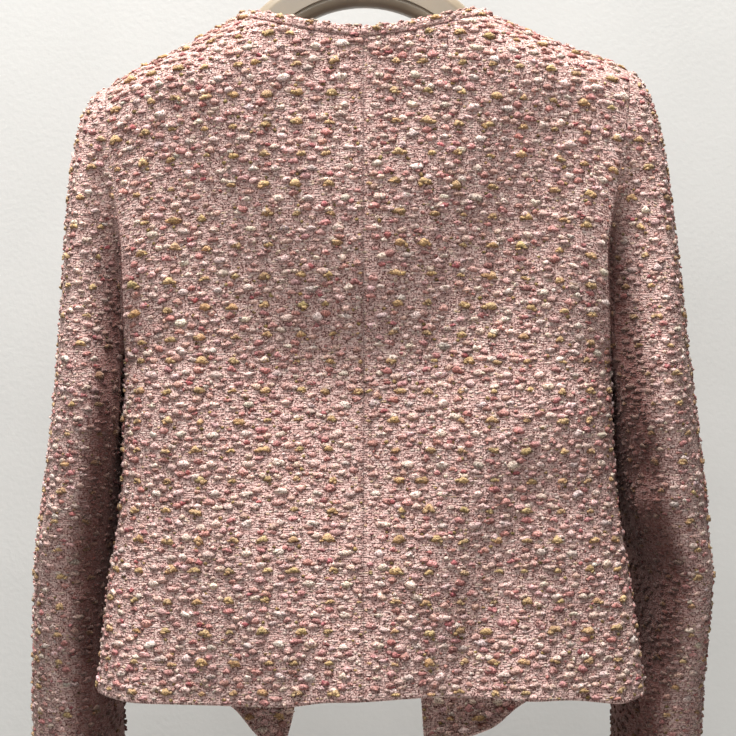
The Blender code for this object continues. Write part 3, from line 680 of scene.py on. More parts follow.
def clear_of_body(side, points, clearance, softness):
    """Moves points outwards where they would come nearer the body's side than the clearance.

    The new distance is the larger of the point's and the body's, rounded off where they meet:
    half of (a + b + the root of (a - b) squared plus the softness squared).
    """
    x, y, z = np.moveaxis(points, -1, 0)
    seam = through(DEPTH, "z", "side", z)
    reach = []
    for face in (BACK, FRONT):
        width, depth = section_sizes(side, face, z)
        share = np.clip(np.abs(y - seam) / depth, 0, 1)
        reach.append(width * (1 - share ** SIDE_POWER[face]) ** (1 / SIDE_POWER[face]))
    body = np.where(y > seam, *reach)
    body = np.minimum(body, through(EDGE, "z", NAME[side], z)) + clearance
    out = (np.abs(x) + body + np.sqrt((np.abs(x) - body) ** 2 + softness ** 2)) / 2
    return np.stack((side * out, y, z), -1)


def sleeve_weave(plain, to_cuff):
    """The sleeve's cloth coordinates: round it on the level, and up from the cuff.

    Up is the running length of the outermost line at the same level.  Round is the running
    length of the level section from that line, positive behind and negative before.
    """
    z = np.minimum.accumulate(plain[..., 2], axis=0)
    level = np.linspace(z.min(), z.max(), SECTION_LEVELS)
    count = z.shape[1]
    section = np.stack([[np.interp(level, z[::-1, column], plain[::-1, column, axis])
                         for axis in (0, 1)] for column in range(count)], -1)
    step = np.hypot(*(np.roll(section, -1, axis=-1) - section))
    behind = np.cumsum(step, axis=1) - step
    before = behind - step.sum(1, keepdims=True)
    reach = np.where(np.arange(count) < ARMHOLE_ROWS, behind, before)
    around = np.stack([np.interp(z[:, column], level, reach[:, column])
                       for column in range(count)], -1)
    return np.stack((around, np.interp(z, z[::-1, 0], to_cuff[::-1])), -1)


@functools.lru_cache(None)
def sleeve(side):
    """A sleeve from the armhole's points to the cuff, in the same five parts as a panel.

    The head is a cubic from each armhole point, leaving it in the table's direction, to the
    arm's first level section, which it meets along the arm.  Folds move the cloth out along
    the ray from the middle of its level section.
    """
    cloth = bpy.context.scene.jacket_cloth
    # The armhole's points, down the back panel's edge and up the front panel's.
    underarm = ARMHOLE_ROWS + len(TOP_ROWS)
    keep = np.r_[0, 1 + len(TOP_ROWS):underarm + 1]
    behind = panel(side, BACK)[3][keep, -1]
    before = panel(side, FRONT)[3][keep[-2:0:-1], -1]
    armhole = np.concatenate((behind, before))
    armhole[0, 1] = 0
    armhole[ARMHOLE_ROWS, 1] = through(DEPTH, "z", "side", UNDERARM_Z)
    armhole[:, 0] += side * ARMHOLE_GAP
    angle = np.linspace(0, 2 * math.pi, 2 * ARMHOLE_ROWS, endpoint=False)
    degrees = np.degrees(angle)
    start = np.stack((side * through(HEAD_START, "angle", NAME[side], degrees),
                      through(HEAD_START, "angle", "back", degrees),
                      through(HEAD_START, "angle", "up", degrees)), -1)
    for place in (VALLEY_PLACE, 360 - VALLEY_PLACE):
        inwards = VALLEY * np.exp(-((degrees - place) / VALLEY_HALF) ** 2)
        start[:, 1] -= np.sign(180 - place) * inwards
    # The head, and the arm below it.
    level = np.full_like(angle, BICEPS_Z)
    biceps = sleeve_ring(side, angle, level)
    heading = unit(sleeve_ring(side, angle, level - SLOPE_STEP) - biceps)
    arrive = heading * HEAD_PULL * np.linalg.norm(biceps - armhole, axis=-1, keepdims=True)
    t = np.linspace(0, 1, HEAD_ROWS + 1)
    t = np.concatenate((t[:1], HEAD_TOP, t[1:]))[:, None, None]
    head = ((1 + 2 * t) * (1 - t) ** 2 * armhole + t * (1 - t) ** 2 * start
            + t * t * (3 - 2 * t) * biceps - t * t * (1 - t) * arrive)
    parted = ease(t[..., 0] / HEAD_PARTS)
    head = clear_of_body(side, head, ARMHOLE_GAP + (SLEEVE_CLEARANCE - ARMHOLE_GAP) * parted,
                         SLEEVE_SOFTNESS * parted)
    t = np.linspace(0, 1, ARM_ROWS + 1)[1:]
    t = np.concatenate((t[:-1], 1 - np.array(HEM_ROWS)[::-1] * CUFF_SHARE, t[-1:]))[:, None]
    arm = sleeve_ring(side, *np.broadcast_arrays(angle, BICEPS_Z + (CUFF_Z - BICEPS_Z) * t))
    arm = clear_of_body(side, arm, SLEEVE_CLEARANCE, SLEEVE_SOFTNESS)
    outer = np.concatenate((head, arm))
    # Folds, with angles taken as lengths round a sleeve of the mean radius.
    ray = (outer - outer.mean(1, keepdims=True)) * (1, 1, 0)
    girth = np.linalg.norm(np.diff(outer, axis=1), axis=-1).sum(1)
    radius = (girth / (2 * math.pi)).mean()
    rows = dict(SLEEVE_FOLDS[side])
    for end in ("angle0", "angle1"):
        rows[end] = np.radians(rows[end]) * radius
    fold = folds(rows, np.broadcast_to(angle * radius, outer.shape[:2]), outer[..., 2])
    fold *= ease((outer[0, :, 2] - outer[..., 2]) / FOLDS_START)
    outer += fold[..., None] * ray / np.linalg.norm(ray, axis=-1, keepdims=True)
    normal = grid_normals(outer, ray, around=True)
    first = unit(np.cross(np.roll(armhole, -1, 0) - np.roll(armhole, 1, 0), start))
    normal[0] = first * np.sign((first * normal[0]).sum(-1).mean())
    # The dip along the armhole, and the turned cuff's thickness.
    down = running(outer, 0)
    to_cuff = down[-1:] - down
    fold = HEM_EXTRA * (1 - ease((to_cuff - HEM_DEPTH) / HEM_STEP))
    plain = outer.copy()
    outer = outer - ARMHOLE_SHARE * dip(down)[..., None] * normal
    inner = plain - (cloth.thickness + fold)[..., None] * normal
    return outer, inner, sleeve_weave(plain, to_cuff[:, 0]), plain, normal


def neck_path():
    """Points of the neck edge from the left front edge round the back, with their normals."""
    halves = []
    for side in (LEFT, RIGHT):
        front, back = (np.concatenate([grid[0, :NECK_COLUMNS + 1] for grid in grids[3:]], -1)
                       for grids in (panel(side, FRONT), panel(side, BACK)))
        front[-1, 1] = 0
        halves.append(np.concatenate((front, back[-2::-1])))
    left, right = halves
    left[-1, 0] = 0
    path = np.concatenate((left, right[-2::-1]))
    return path[:, :3], path[:, 3:]


def neck_binding():
    """Rings of the narrow band on the neck edge: a rounded oblong carried along the edge.

    The oblong is (|cos|^p + |sin|^p)^(-1/p) times half its height and thickness.  Small even
    swellings, the product of two sines of the length, follow the threads under it.
    """
    path, lean = neck_path()
    along = np.gradient(path, axis=0)
    length = running(path, 0)
    rise = unit(np.cross(lean, along))
    rise *= np.sign(rise[:, 2].mean())
    turn = np.linspace(0, 2 * math.pi, BINDING_SIDES, endpoint=False)
    reach = (np.abs(np.cos(turn)) ** BINDING_POWER + np.abs(np.sin(turn)) ** BINDING_POWER)
    reach = reach ** (-1 / BINDING_POWER)
    share = BINDING_FOOT + (1 - BINDING_FOOT) * (0.5 + 0.5 * np.sin(turn) * reach)
    height = share * BINDING_HEIGHT
    across = 0.5 * np.cos(turn) * reach * BINDING_THICKNESS
    short, long = (np.sin(length * 2 * math.pi / each) for each in SWELL_LENGTHS)
    swell = 1 + SWELL * short * long
    rings = (path[:, None] + height[None, :, None] * rise[:, None]
             + (across * swell[:, None])[..., None] * lean[:, None]
             - BINDING_SET_IN * lean[:, None])
    return rings, length


def facing(side):
    """Grids of the strip inside a front edge, just behind the front's own inner grid.

    Its near side is that grid less a seam's gap along the normals, up to the strip's width,
    and its far side lies its own thickness behind.
    """
    _, inner, weave, plain, normal = panel(side, FRONT)
    width = running(plain, 1)[0]
    count = int(np.searchsorted(width, FACING_WIDTH)) + 1
    inner = inner[:, :count].copy()
    for row, next_row in ((0, 1), (-1, -2)):
        inner[row] += FACING_SETBACK * unit(inner[next_row] - inner[row])
    lean = normal[:, :count]
    near = inner - SEAM_GAP * lean
    cloth = bpy.context.scene.jacket_cloth
    return near, near - cloth.facing_thickness * lean, weave[:, :count], lean


def fine_profile(values):
    """A table's column with smooth places between its rows, ends included."""
    place = np.arange(len(values), dtype=float)
    rows = {"place": place, "value": np.asarray(values)}
    fine = np.linspace(0, place[-1], (len(values) - 1) * SECTION_FINE + 1)
    return through(rows, "place", "value", fine)


def hanger_top(x):
    """Top line of the hanger: a round arch in the middle, then arms just under the shoulders.

    The arch is a circle, an arm is the shoulder line less the cloth and a clearance square to
    it, and one eases into the other.
    """
    thickness = bpy.context.scene.jacket_cloth.thickness
    side = np.where(x >= 0, LEFT, RIGHT)
    away = np.abs(x)
    arch = ARCH_CENTRE_Z + np.sqrt(np.maximum(ARCH_RADIUS ** 2 - away ** 2, 0))
    arm = np.empty_like(x)
    for each in (LEFT, RIGHT):
        line = through(SHOULDER, "x", NAME[each], away)
        slope = (through(SHOULDER, "x", NAME[each], away + SLOPE_STEP) - line) / SLOPE_STEP
        line = line - (thickness + ARM_CLEARANCE) * np.sqrt(1 + slope ** 2)
        arm = np.where(side == each, line, arm)
    return arch + (arm - arch) * ease((away - ARCH_ENDS) / (ARM_STARTS - ARCH_ENDS))


def hanger_rings():
    """Rings of the hanger's beam from the right tip to the left, smaller at the rounded tips.

    A ring is the table's half section and its mirror image, square to the top line.  Over a
    tip it moves out with the sine of an angle and shrinks with its cosine.
    """
    tip = {side: ARM_TIP[side] - TIP_ROUND * (1 - np.sin(TIP_TURNS)) for side in (LEFT, RIGHT)}
    middle = np.linspace(-tip[RIGHT][-1], tip[LEFT][-1], HANGER_STATIONS)[1:-1]
    x = np.concatenate((-tip[RIGHT], middle, tip[LEFT][::-1]))
    end = np.maximum(np.cos(TIP_TURNS), TIP_END)
    small = np.concatenate((end, np.ones_like(middle), end[::-1]))
    top = np.stack((x, hanger_top(x)), -1)
    near = unit(np.stack((x + SLOPE_STEP, hanger_top(x + SLOPE_STEP)), -1) - top)
    up = np.stack((-near[:, 1], near[:, 0]), -1)
    height = through(HANGER, "x", "height", np.abs(x)) / 2
    depth = through(HANGER, "x", "depth", np.abs(x)) * small
    centre = top - up * height[:, None]
    rise = fine_profile(HANGER_SECTION["height"])
    wide = fine_profile(HANGER_SECTION["depth"])
    rise = np.concatenate((rise, rise[:0:-1]))
    wide = np.concatenate((wide, -wide[:0:-1]))
    place = centre[:, None] + up[:, None] * (height * small)[:, None, None] * rise[:, None]
    return np.stack((place[..., 0], depth[:, None] * wide, place[..., 1]), -1)


def bore(hanger):
    """Cuts the blind round hole in which the hook's stem stands, and applies the cut."""
    wire = bpy.context.scene.jacket_hanger.wire
    radius = wire / 2 + SEAM_GAP
    top = ARCH_CENTRE_Z + ARCH_RADIUS + BORE_OVERSHOOT
    turn = np.linspace(0, 2 * math.pi, BORE_SIDES, endpoint=False)
    ring = np.stack((radius * np.cos(turn), radius * np.sin(turn)), -1)
    rings = np.stack([np.column_stack((ring, np.full(BORE_SIDES, z))) for z in (BORE_FOOT_Z, top)])
    cutter = sweep("stem_bore", rings)
    cut = hanger.modifiers.new("stem_bore", "BOOLEAN")
    cut.operation = "DIFFERENCE"
    cut.solver = "EXACT"
    cut.object = cutter
    depsgraph = bpy.context.evaluated_depsgraph_get()
    mesh = bpy.data.meshes.new_from_object(hanger.evaluated_get(depsgraph))
    hanger.modifiers.clear()
    hanger.data = mesh
    bpy.data.objects.remove(cutter)
    mesh.set_sharp_from_angle(angle=SHARP_ANGLE)


def hook_rings():
    """Rings of the hook's wire: straight stem, a bend aside and the round hook, of one radius.

    Bend and hook are arcs of (r cos t, r sin t).  The wire is a circle carried along them.
    """
    wire = bpy.context.scene.jacket_hanger.wire
    radius = HOOK_INSIDE + wire / 2
    swing = np.linspace(0, HOOK_BEND, BEND_STEPS)
    sweep_turn = np.linspace(-HOOK_BEND, HOOK_ENDS, HOOK_STEPS)[1:]
    bend_foot = -HOOK_INSIDE - 2 * radius * math.sin(HOOK_BEND)
    bend = np.stack((radius * (1 - np.cos(swing)), bend_foot + radius * np.sin(swing)), -1)
    hook = np.stack((radius * np.cos(sweep_turn), radius * np.sin(sweep_turn) - HOOK_INSIDE), -1)
    path = np.concatenate(([(0.0, STEM_FOOT_Z)], bend, hook))
    along = np.gradient(path, axis=0)
    along[:2] = (0, 1)
    along = unit(along)
    aside = np.stack((along[:, 1], -along[:, 0]), -1)
    turn = np.linspace(0, 2 * math.pi, WIRE_SIDES, endpoint=False)
    thick = np.full(len(path), wire / 2)
    thick[-len(WIRE_TIP):] *= WIRE_TIP
    ring = path[:, None] + aside[:, None] * (thick[:, None] * np.cos(turn))[..., None]
    return np.stack((ring[..., 0], thick[:, None] * np.sin(turn), ring[..., 1]), -1)


def edge_directions(grid, free):
    """Unit steps out of a grid over its free edges: top, last column, bottom, first column."""
    out = np.zeros_like(grid)
    top, last, bottom, first = free
    if top:
        out[0] += unit(grid[0] - grid[1])
    if bottom:
        out[-1] += unit(grid[-1] - grid[-2])
    if last:
        out[:, -1] += unit(grid[:, -1] - grid[:, -2])
    if first:
        out[:, 0] += unit(grid[:, 0] - grid[:, 1])
    return out


def grid_index(rows, columns, around, first=0):
    """Numbers of a grid's points, with the first column again at the end of a closed one."""
    index = first + np.arange(rows * columns).reshape(rows, columns)
    return np.concatenate((index, index[:, :1]), 1) if around else index


def quads(index):
    """Four-cornered faces between neighbouring rows and columns of an index grid."""
    corners = (index[:-1, :-1], index[:-1, 1:], index[1:, 1:], index[1:, :-1])
    return np.stack(corners, -1).reshape(-1, 4)


def loops_of(index, around):
    """The grid's open borders, each run round the way its faces run."""
    if around:
        return [index[0], index[-1][::-1]]
    border = np.concatenate((index[0, :-1], index[:-1, -1], index[-1, :0:-1], index[:0:-1, 0]))
    return [np.append(border, border[0])]


def new_object(name, points, faces, uv=None, colours=None):
    """Object at the origin from arrays: points, faces of one size, a UV per face corner."""
    mesh = bpy.data.meshes.new(name)
    count, corners = faces.shape
    mesh.vertices.add(len(points))
    mesh.vertices.foreach_set("co", points.astype(np.float32).ravel())
    mesh.loops.add(count * corners)
    mesh.loops.foreach_set("vertex_index", faces.astype(np.int32).ravel())
    mesh.polygons.add(count)
    mesh.polygons.foreach_set("loop_start", np.arange(0, count * corners, corners, dtype=np.int32))
    if uv is not None:
        layer = mesh.uv_layers.new(name="cloth")
        layer.data.foreach_set("uv", uv.astype(np.float32).ravel())
    if colours is not None:
        # The slubs' colours, their painted shade included.
        layer = mesh.color_attributes.new("fibre", "FLOAT_COLOR", "POINT")
        rgba = np.concatenate((colours, np.ones_like(colours[:, :1])), 1)
        layer.data.foreach_set("color", rgba.astype(np.float32).ravel())
    mesh.update(calc_edges=True)
    mesh.validate()
    mesh.shade_smooth()
    obj = bpy.data.objects.new(name, mesh)
    bpy.context.scene.collection.objects.link(obj)
    return obj


def closed_weave(weave):
    """Cloth coordinates of a closed grid with one more column, a step past its last."""
    return np.concatenate((weave, weave[:, -1:] * 2 - weave[:, -2:-1]), 1)


def wall(name, outer, inner, weave, normal, free, around=False, painted_shade_share=None):
    """Closed cloth wall between two grids, its free edges rounded by a line pushed outwards."""
    rows, columns = outer.shape[:2]
    count = rows * columns
    middle = (outer + inner) / 2 + EDGE_ROUND * edge_directions(outer, free)
    points = np.concatenate([grid.reshape(-1, 3) for grid in (outer, middle, inner)])
    index = grid_index(rows, columns, around)
    if around:
        weave = closed_weave(weave)
    seat = grid_index(*weave.shape[:2], False)
    flat = weave.reshape(-1, 2)
    faces = [quads(index), quads(index)[:, ::-1] + 2 * count]
    corners = [quads(seat), quads(seat)[:, ::-1]]
    for loop, place in zip(loops_of(index, around), loops_of(seat, around)):
        for step in (0, count):
            here, ahead = loop[:-1], loop[1:]
            strip = (ahead + step, here + step, here + step + count, ahead + step + count)
            faces.append(np.stack(strip, -1))
            corners.append(np.stack((place[1:], place[:-1], place[:-1], place[1:]), -1))
    faces = np.concatenate(faces)
    corners = np.concatenate(corners)
    a, b, _, d = points[faces[:WAY_FACES]].transpose(1, 0, 2)
    if (np.cross(b - a, d - a) * normal.reshape(-1, 3)[faces[:WAY_FACES, 0]]).sum() < 0:
        faces = faces[:, ::-1]
        corners = corners[:, ::-1]
    used, faces = np.unique(faces, return_inverse=True)
    piece = new_object(name, points[used], faces.reshape(-1, 4), flat[corners].reshape(-1, 2))
    # Share of painted shade at each point, darker in seams and on the sleeves' insides.
    if painted_shade_share is not None:
        share = np.tile(painted_shade_share.ravel(), 3)[used]
        layer = piece.data.attributes.new("painted_shade_share", "FLOAT", "POINT")
        layer.data.foreach_set("value", share.astype(np.float32))
    return piece


def sweep(name, rings, uv=None):
    """Closed solid through a row of rings, each end closed on a middle point."""
    rows, columns = rings.shape[:2]
    if uv is None:
        uv = np.zeros((rows, columns + 1, 2))
    caps = np.stack((rings[0].mean(0), rings[-1].mean(0)))
    rings = np.concatenate((np.broadcast_to(caps[0], (1, columns, 3)), rings,
                            np.broadcast_to(caps[1], (1, columns, 3))))
    uv = np.concatenate((uv[:1], uv, uv[-1:]))
    index = grid_index(rows + 2, columns, True)
    seat = grid_index(rows + 2, columns + 1, False)
    points = rings.reshape(-1, 3)
    faces = quads(index)
    corners = quads(seat)
    middle = rings[rows // 2].mean(0)
    a, b, _, d = points[quads(index[rows // 2:rows // 2 + 2])].transpose(1, 0, 2)
    if (np.cross(b - a, d - a) * (a - middle)).sum() < 0:
        faces = faces[:, ::-1]
        corners = corners[:, ::-1]
    obj = new_object(name, points, faces, uv.reshape(-1, 2)[corners].reshape(-1, 2))
    shape = bmesh.new()
    shape.from_mesh(obj.data)
    bmesh.ops.remove_doubles(shape, verts=shape.verts, dist=1e-6)
    shape.to_mesh(obj.data)
    shape.free()
    obj.data.shade_smooth()
    return obj


def sample(grid, row, column):
    """Values of a grid at places between its points, evenly blended from the four around."""
    r = np.clip(row.astype(int), 0, grid.shape[0] - 2)
    c = np.clip(column.astype(int), 0, grid.shape[1] - 2)
    shape = row.shape + (1,) * (grid.ndim - 2)
    s = (row - r).reshape(shape)
    t = (column - c).reshape(shape)
    low = grid[r, c] * (1 - t) + grid[r, c + 1] * t
    high = grid[r + 1, c] * (1 - t) + grid[r + 1, c + 1] * t
    return low * (1 - s) + high * s


def find(weave, u, v):
    """Places on a grid whose cloth coordinates are u and v.

    Each round solves the two slopes of u and v at the present place for the step that is left.
    """
    rows, columns = weave.shape[:2]
    row = np.full(u.shape, rows * 0.5)
    column = np.full(u.shape, columns * 0.5)
    for _ in range(FIND_ROUNDS):
        r = np.clip(row.astype(int), 0, rows - 2)
        c = np.clip(column.astype(int), 0, columns - 2)
        here = sample(weave, row, column)
        down = weave[r + 1, c] - weave[r, c]
        over = weave[r, c + 1] - weave[r, c]
        left = np.stack((u, v), -1) - here
        turn = down[..., 1] * over[..., 0] - down[..., 0] * over[..., 1]
        to_row = (left[..., 1] * over[..., 0] - left[..., 0] * over[..., 1]) / turn
        to_column = (left[..., 0] * down[..., 1] - left[..., 1] * down[..., 0]) / turn
        row = np.clip(row + np.clip(to_row, -FIND_STEP, FIND_STEP), 0, rows - 1.001)
        column = np.clip(column + np.clip(to_column, -FIND_STEP, FIND_STEP), 0, columns - 1.001)
    here = sample(weave, row, column)
    return row, column, np.hypot(here[..., 0] - u, here[..., 1] - v) < FIND_NEAR


def nubs(places, along, normal, size, lift, colours, stations, sides, arch, rng):
    """Points, faces and colours of many wool nubs: spindles lying on the cloth.

    A spindle's radius falls off as (1 - s^2)^0.7 from its middle to its tips.  Its middle line
    arches up, its surface is knobbly, and it sinks a share of its thickness into the cloth.
    Painted shade darkens its lower side, whose colour turns to its own square, darker and fuller.
    """
    count = len(places)
    # Radius, knobs and bow at each place along and round a spindle, and its points.
    across = unit(np.cross(normal, along))
    s = np.linspace(-1, 1, stations + 2)[1:-1]
    turn = np.linspace(0, 2 * math.pi, sides, endpoint=False)
    radius = (1 - s ** 2) ** SPINDLE_POWER
    knob = rng.standard_normal((count, stations, sides)).clip(-KNOB_LIMIT, KNOB_LIMIT)
    knob = 1 + KNOBBLY * knob
    up_side = np.sign(across[:, 2:])
    bow = (rng.uniform(-BOW, BOW, (count, 1)) + arch * up_side) * (1 - s ** 2)
    half, high, thick = size.T
    flat = (radius[:, None] * np.cos(turn)) * knob * high[:, None, None]
    flat = flat + (bow * high[:, None])[..., None]
    up = (radius[:, None] * np.sin(turn)) * knob * thick[:, None, None]
    up = up + (lift * thick)[:, None, None]
    run = np.broadcast_to((s * half[:, None])[..., None], flat.shape)
    body = (places[:, None, None] + run[..., None] * along[:, None, None]
            + flat[..., None] * across[:, None, None] + up[..., None] * normal[:, None, None])
    ends = (places[:, None] + np.array((-1, 1))[:, None] * (half[:, None] * along)[:, None]
            + ((lift * TIP_LIFT * thick)[:, None] * normal)[:, None])
    each = stations * sides + 2
    points = np.concatenate((ends[:, :1], body.reshape(count, -1, 3), ends[:, 1:]), 1)
    # Faces of the sides and of both tips.
    index = grid_index(stations, sides, True, 1)
    body_faces = quads(index)
    split = np.concatenate((body_faces[:, [0, 1, 2]], body_faces[:, [0, 2, 3]]))
    first = np.stack((np.zeros(sides, int), index[0, 1:], index[0, :-1]), -1)
    last = np.stack((np.full(sides, each - 1), index[-1, :-1], index[-1, 1:]), -1)
    faces = np.concatenate((split, first, last))
    faces = (faces + each * np.arange(count)[:, None, None]).reshape(-1, 3)
    # Colour of each point, the tips included, with painted shade on the lower side.
    below = (up_side * -np.cos(turn)).clip(0, 1)
    below = np.repeat(below, stations, 0).reshape(count, -1)
    below = np.concatenate((below[:, :1], below, below[:, :1]), 1)[..., None]
    tone = rng.uniform(*FIBRE_TONES, (count, each))[..., None]
    base = colours[:, None]
    tint = tone * (base + PAINTED_UNDERSIDE_SHADE * below * (base ** 2 - base))
    return points.reshape(-1, 3), faces, tint.reshape(-1, 3)


def srgb(red, green, blue):
    """Linear colour of an 8-bit screen colour."""
    part = np.array((red, green, blue)) / 255
    return tuple(np.where(part > 0.04045, ((part + 0.055) / 1.055) ** 2.4, part / 12.92).tolist())


# Wool slubs: how far below the gold yarn, spacing along the yarn, first place, chance,
# length, height on the cloth, thickness, how many knots ride on it, and how far it arches up.
SLUBS = {
    "gold": (0.0000, 0.0235, 0.000, 0.96, 0.0092, 0.0042, 0.0032, 2, 0.75),
    "pale": (-0.0034, 0.0235, 0.009, 0.85, 0.0084, 0.0038, 0.0024, 1, 0.3),
    "shell": (0.0034, 0.0235, 0.014, 0.75, 0.0070, 0.0034, 0.0023, 1, 0.3),
    "rose": (0.0062, 0.0235, 0.003, 0.90, 0.0080, 0.0038, 0.0026, 1, 0.4),
    "cream": (0.0090, 0.0235, 0.013, 0.90, 0.0094, 0.0044, 0.0027, 1, 0.2),
    "blush": (0.0112, 0.0235, 0.021, 0.85, 0.0076, 0.0036, 0.0024, 1, 0.3),
    "dusk": (0.0134, 0.0235, 0.006, 0.75, 0.0070, 0.0034, 0.0023, 1, 0.4),
    "pink": (0.0160, 0.0235, 0.017, 0.90, 0.0082, 0.0040, 0.0026, 1, 0.4),
    "ivory": (0.0180, 0.0235, 0.001, 0.85, 0.0076, 0.0036, 0.0023, 1, 0.3),
    "olive_fleck": (0.0040, 0.0190, 0.006, 0.55, 0.0036, 0.0024, 0.0015, 0, 0.0),
    "olive": (0.0146, 0.0220, 0.003, 0.65, 0.0036, 0.0024, 0.0015, 0, 0.0),
    "deep_pink": (0.0150, 0.0470, 0.030, 0.60, 0.0060, 0.0034, 0.0021, 1, 0.4),
}

# Short runs of pale yarn, in the same columns.
YARNS = (
    (0.0000, 0.0170, 0.002, 0.30, 0.0070, 0.0012, 0.0011, 0, 0.0),
    (0.0054, 0.0160, 0.009, 0.30, 0.0060, 0.0012, 0.0011, 0, 0.0),
    (0.0108, 0.0170, 0.005, 0.30, 0.0070, 0.0012, 0.0011, 0, 0.0),
    (0.0162, 0.0160, 0.012, 0.30, 0.0060, 0.0012, 0.0011, 0, 0.0),
)

# Rings along and corners round each sort of spindle, and how far it stands off the cloth.
SLUB_BODY = (3, 6, 0.25)
FLECK_BODY = (2, 5, 0.25)
YARN_BODY = (3, 4, 0.2)
KNOT_BODY = (2, 5, 1.5)
NUB_BODY = (2, 5, 0.3)

# Spindle: power of its outline, its knobbliness and its limit, how far it bows, how far its
# tips are lifted, the painted shade on its lower side and the tones of its fibres.
SPINDLE_POWER = 0.7
KNOBBLY = 0.32
KNOB_LIMIT = 1.5
BOW = 0.3
TIP_LIFT = 0.2
PAINTED_UNDERSIDE_SHADE = 0.75
FIBRE_TONES = (0.78, 1.18)

# How unlike the spindles are: astray along a row as a share of the spacing, and across it in
# metres; as a whole and by each measure; turned, in radians; lighter, redder and lifted.
STRAY_ALONG = 0.09
STRAY_ACROSS = 0.0005
WHOLE_SIZES = (0.72, 1.22)
EACH_SIZES = (0.88, 1.12)
STRAY_TURN = 0.12
TONES = (0.80, 1.12)
TINTS = (0.94, 1.06)
LIFTS = (0.6, 1.4)

# Knots beside a slub, as shares of its measures: places along and above, size and its range.
KNOTS_ALONG = (-0.8, 0.8)
KNOTS_ABOVE = (-0.3, 1.0)
KNOT_RISE = 0.6
KNOT_SIZE = 0.5
KNOT_SIZES = (0.7, 1.3)

# Loose nubs, half sizes and their range; the room a spindle leaves to an edge, as a share of
# its half length and in metres; how far painted shade darkens the slubs, more in green and
# blue; and how far slubs may stand over a free edge.
NUB_SIZE = (0.0017, 0.0012, 0.0010)
NUB_SIZES = (0.6, 1.3)
ROOM_SHARE = 0.55
ROOM_MORE = 0.001
SLUB_PAINTED_SHADE = 0.75
PAINTED_SHADE_TINT = (1, 1.1, 1.12)
OVERHANG = 0.0015

# Slubs are this much smaller on the sleeves and on the binding.
SLEEVE_SLUBS = 0.88
BINDING_SLUBS = 0.78

# Wool colours of each kind, one of which is drawn for each spindle.
COLOURS = {
    "gold": (srgb(212, 180, 136), srgb(202, 170, 126)),
    "pale": (srgb(236, 209, 199), srgb(226, 189, 181)),
    "shell": (srgb(228, 196, 186), srgb(216, 174, 165)),
    "rose": (srgb(212, 158, 151), srgb(205, 146, 140), srgb(224, 182, 173)),
    "cream": (srgb(240, 220, 209), srgb(234, 211, 201)),
    "blush": (srgb(224, 186, 177), srgb(234, 204, 194)),
    "dusk": (srgb(196, 144, 137), srgb(208, 164, 155)),
    "pink": (srgb(222, 176, 168), srgb(234, 204, 195), srgb(210, 156, 149)),
    "ivory": (srgb(240, 219, 208), srgb(227, 196, 186)),
    "olive_fleck": (srgb(140, 116, 72), srgb(180, 154, 104)),
    "olive": (srgb(154, 130, 84), srgb(180, 154, 104)),
    "deep_pink": (srgb(198, 118, 120), srgb(202, 134, 132)),
    "yarn": (srgb(226, 196, 187),),
    "nub": (srgb(228, 198, 189), srgb(208, 160, 153), srgb(238, 218, 207), srgb(188, 132, 125)),
}


class Nodes:
    """Short calls that add nodes to a material; most give the new node's output."""

    def __init__(self, name):
        self.material = bpy.data.materials.new(name)
        self.material.use_nodes = True
        self.tree = self.material.node_tree
        self.shader = self.tree.nodes["Principled BSDF"]

    def put(self, socket, value):
        """Links an output to a socket, or sets the socket to a plain value."""
        if isinstance(value, bpy.types.NodeSocket):
            self.tree.links.new(value, socket)
        else:
            socket.default_value = value

    def add(self, kind, inputs, output=0, **settings):
        """One node with its settings, and its inputs by name or number."""
        made = self.tree.nodes.new("ShaderNode" + kind)
        for key, value in settings.items():
            setattr(made, key, value)
        for key, value in inputs.items():
            self.put(made.inputs[key], value)
        return made.outputs[output]

    def sums(self, operation, *values):
        """One Math node; its values are numbers or outputs."""
        return self.add("Math", dict(enumerate(values)), operation=operation)

    def blend(self, share, first, second, how="MIX"):
        """Colour between two colours, or their product."""
        return self.add("Mix", {0: share, 6: first, 7: second}, 2, data_type="RGBA",
                        blend_type=how)

    def smooth(self, value, low, high):
        """Zero below low and one above high, with a smooth step between."""
        return self.add("MapRange", {"Value": value, "From Min": low, "From Max": high},
                        interpolation_type="SMOOTHSTEP")

    def spread(self, noise, low, high):
        """A noise, which lies mostly from 0.3 to 0.7, brought to a range of values."""
        return self.add("MapRange", {"Value": noise, "From Min": 0.3, "From Max": 0.7,
                                     "To Min": low, "To Max": high})

    def noise(self, vector, scale, detail, output=0):
        """Cloudy noise as a number, or as a colour from the output Color."""
        return self.add("TexNoise", {"Vector": vector, "Scale": scale, "Detail": detail}, output)

    def join(self, x, y, z=0.0):
        """Vector of three numbers."""
        return self.add("CombineXYZ", {"X": x, "Y": y, "Z": z})

    def threads(self, place, pitch):
        """Number of the thread at a place, and a half-sine ridge across it."""
        share = self.sums("DIVIDE", place, pitch)
        ridge = self.sums("SINE", self.sums("MULTIPLY", self.sums("FRACT", share), math.pi))
        return self.sums("FLOOR", share), ridge

    def streaks(self, x, x_scale, y, y_scale, layer=0.0):
        """Noise in streaks: of a place along a thread and the thread's number, each scaled."""
        x = self.sums("MULTIPLY", x, x_scale)
        y = self.sums("MULTIPLY", y, y_scale)
        return self.noise(self.join(x, y, layer), scale=1.0, detail=2.0)

    def ramp(self, value, stops):
        """Colour ramp through (place, colour) stops."""
        made = self.tree.nodes.new("ShaderNodeValToRGB")
        elements = made.color_ramp.elements
        while len(elements) < len(stops):
            elements.new(0.5)
        for element, (place, colour) in zip(elements, stops):
            element.position = place
            element.color = (*colour, 1)
        self.put(made.inputs[0], value)
        return made.outputs[0]

    def finish(self, sockets):
        """Gives the shader its links and plain values, and returns the material."""
        for name, value in sockets.items():
            self.put(self.shader.inputs[name], value)
        return self.material


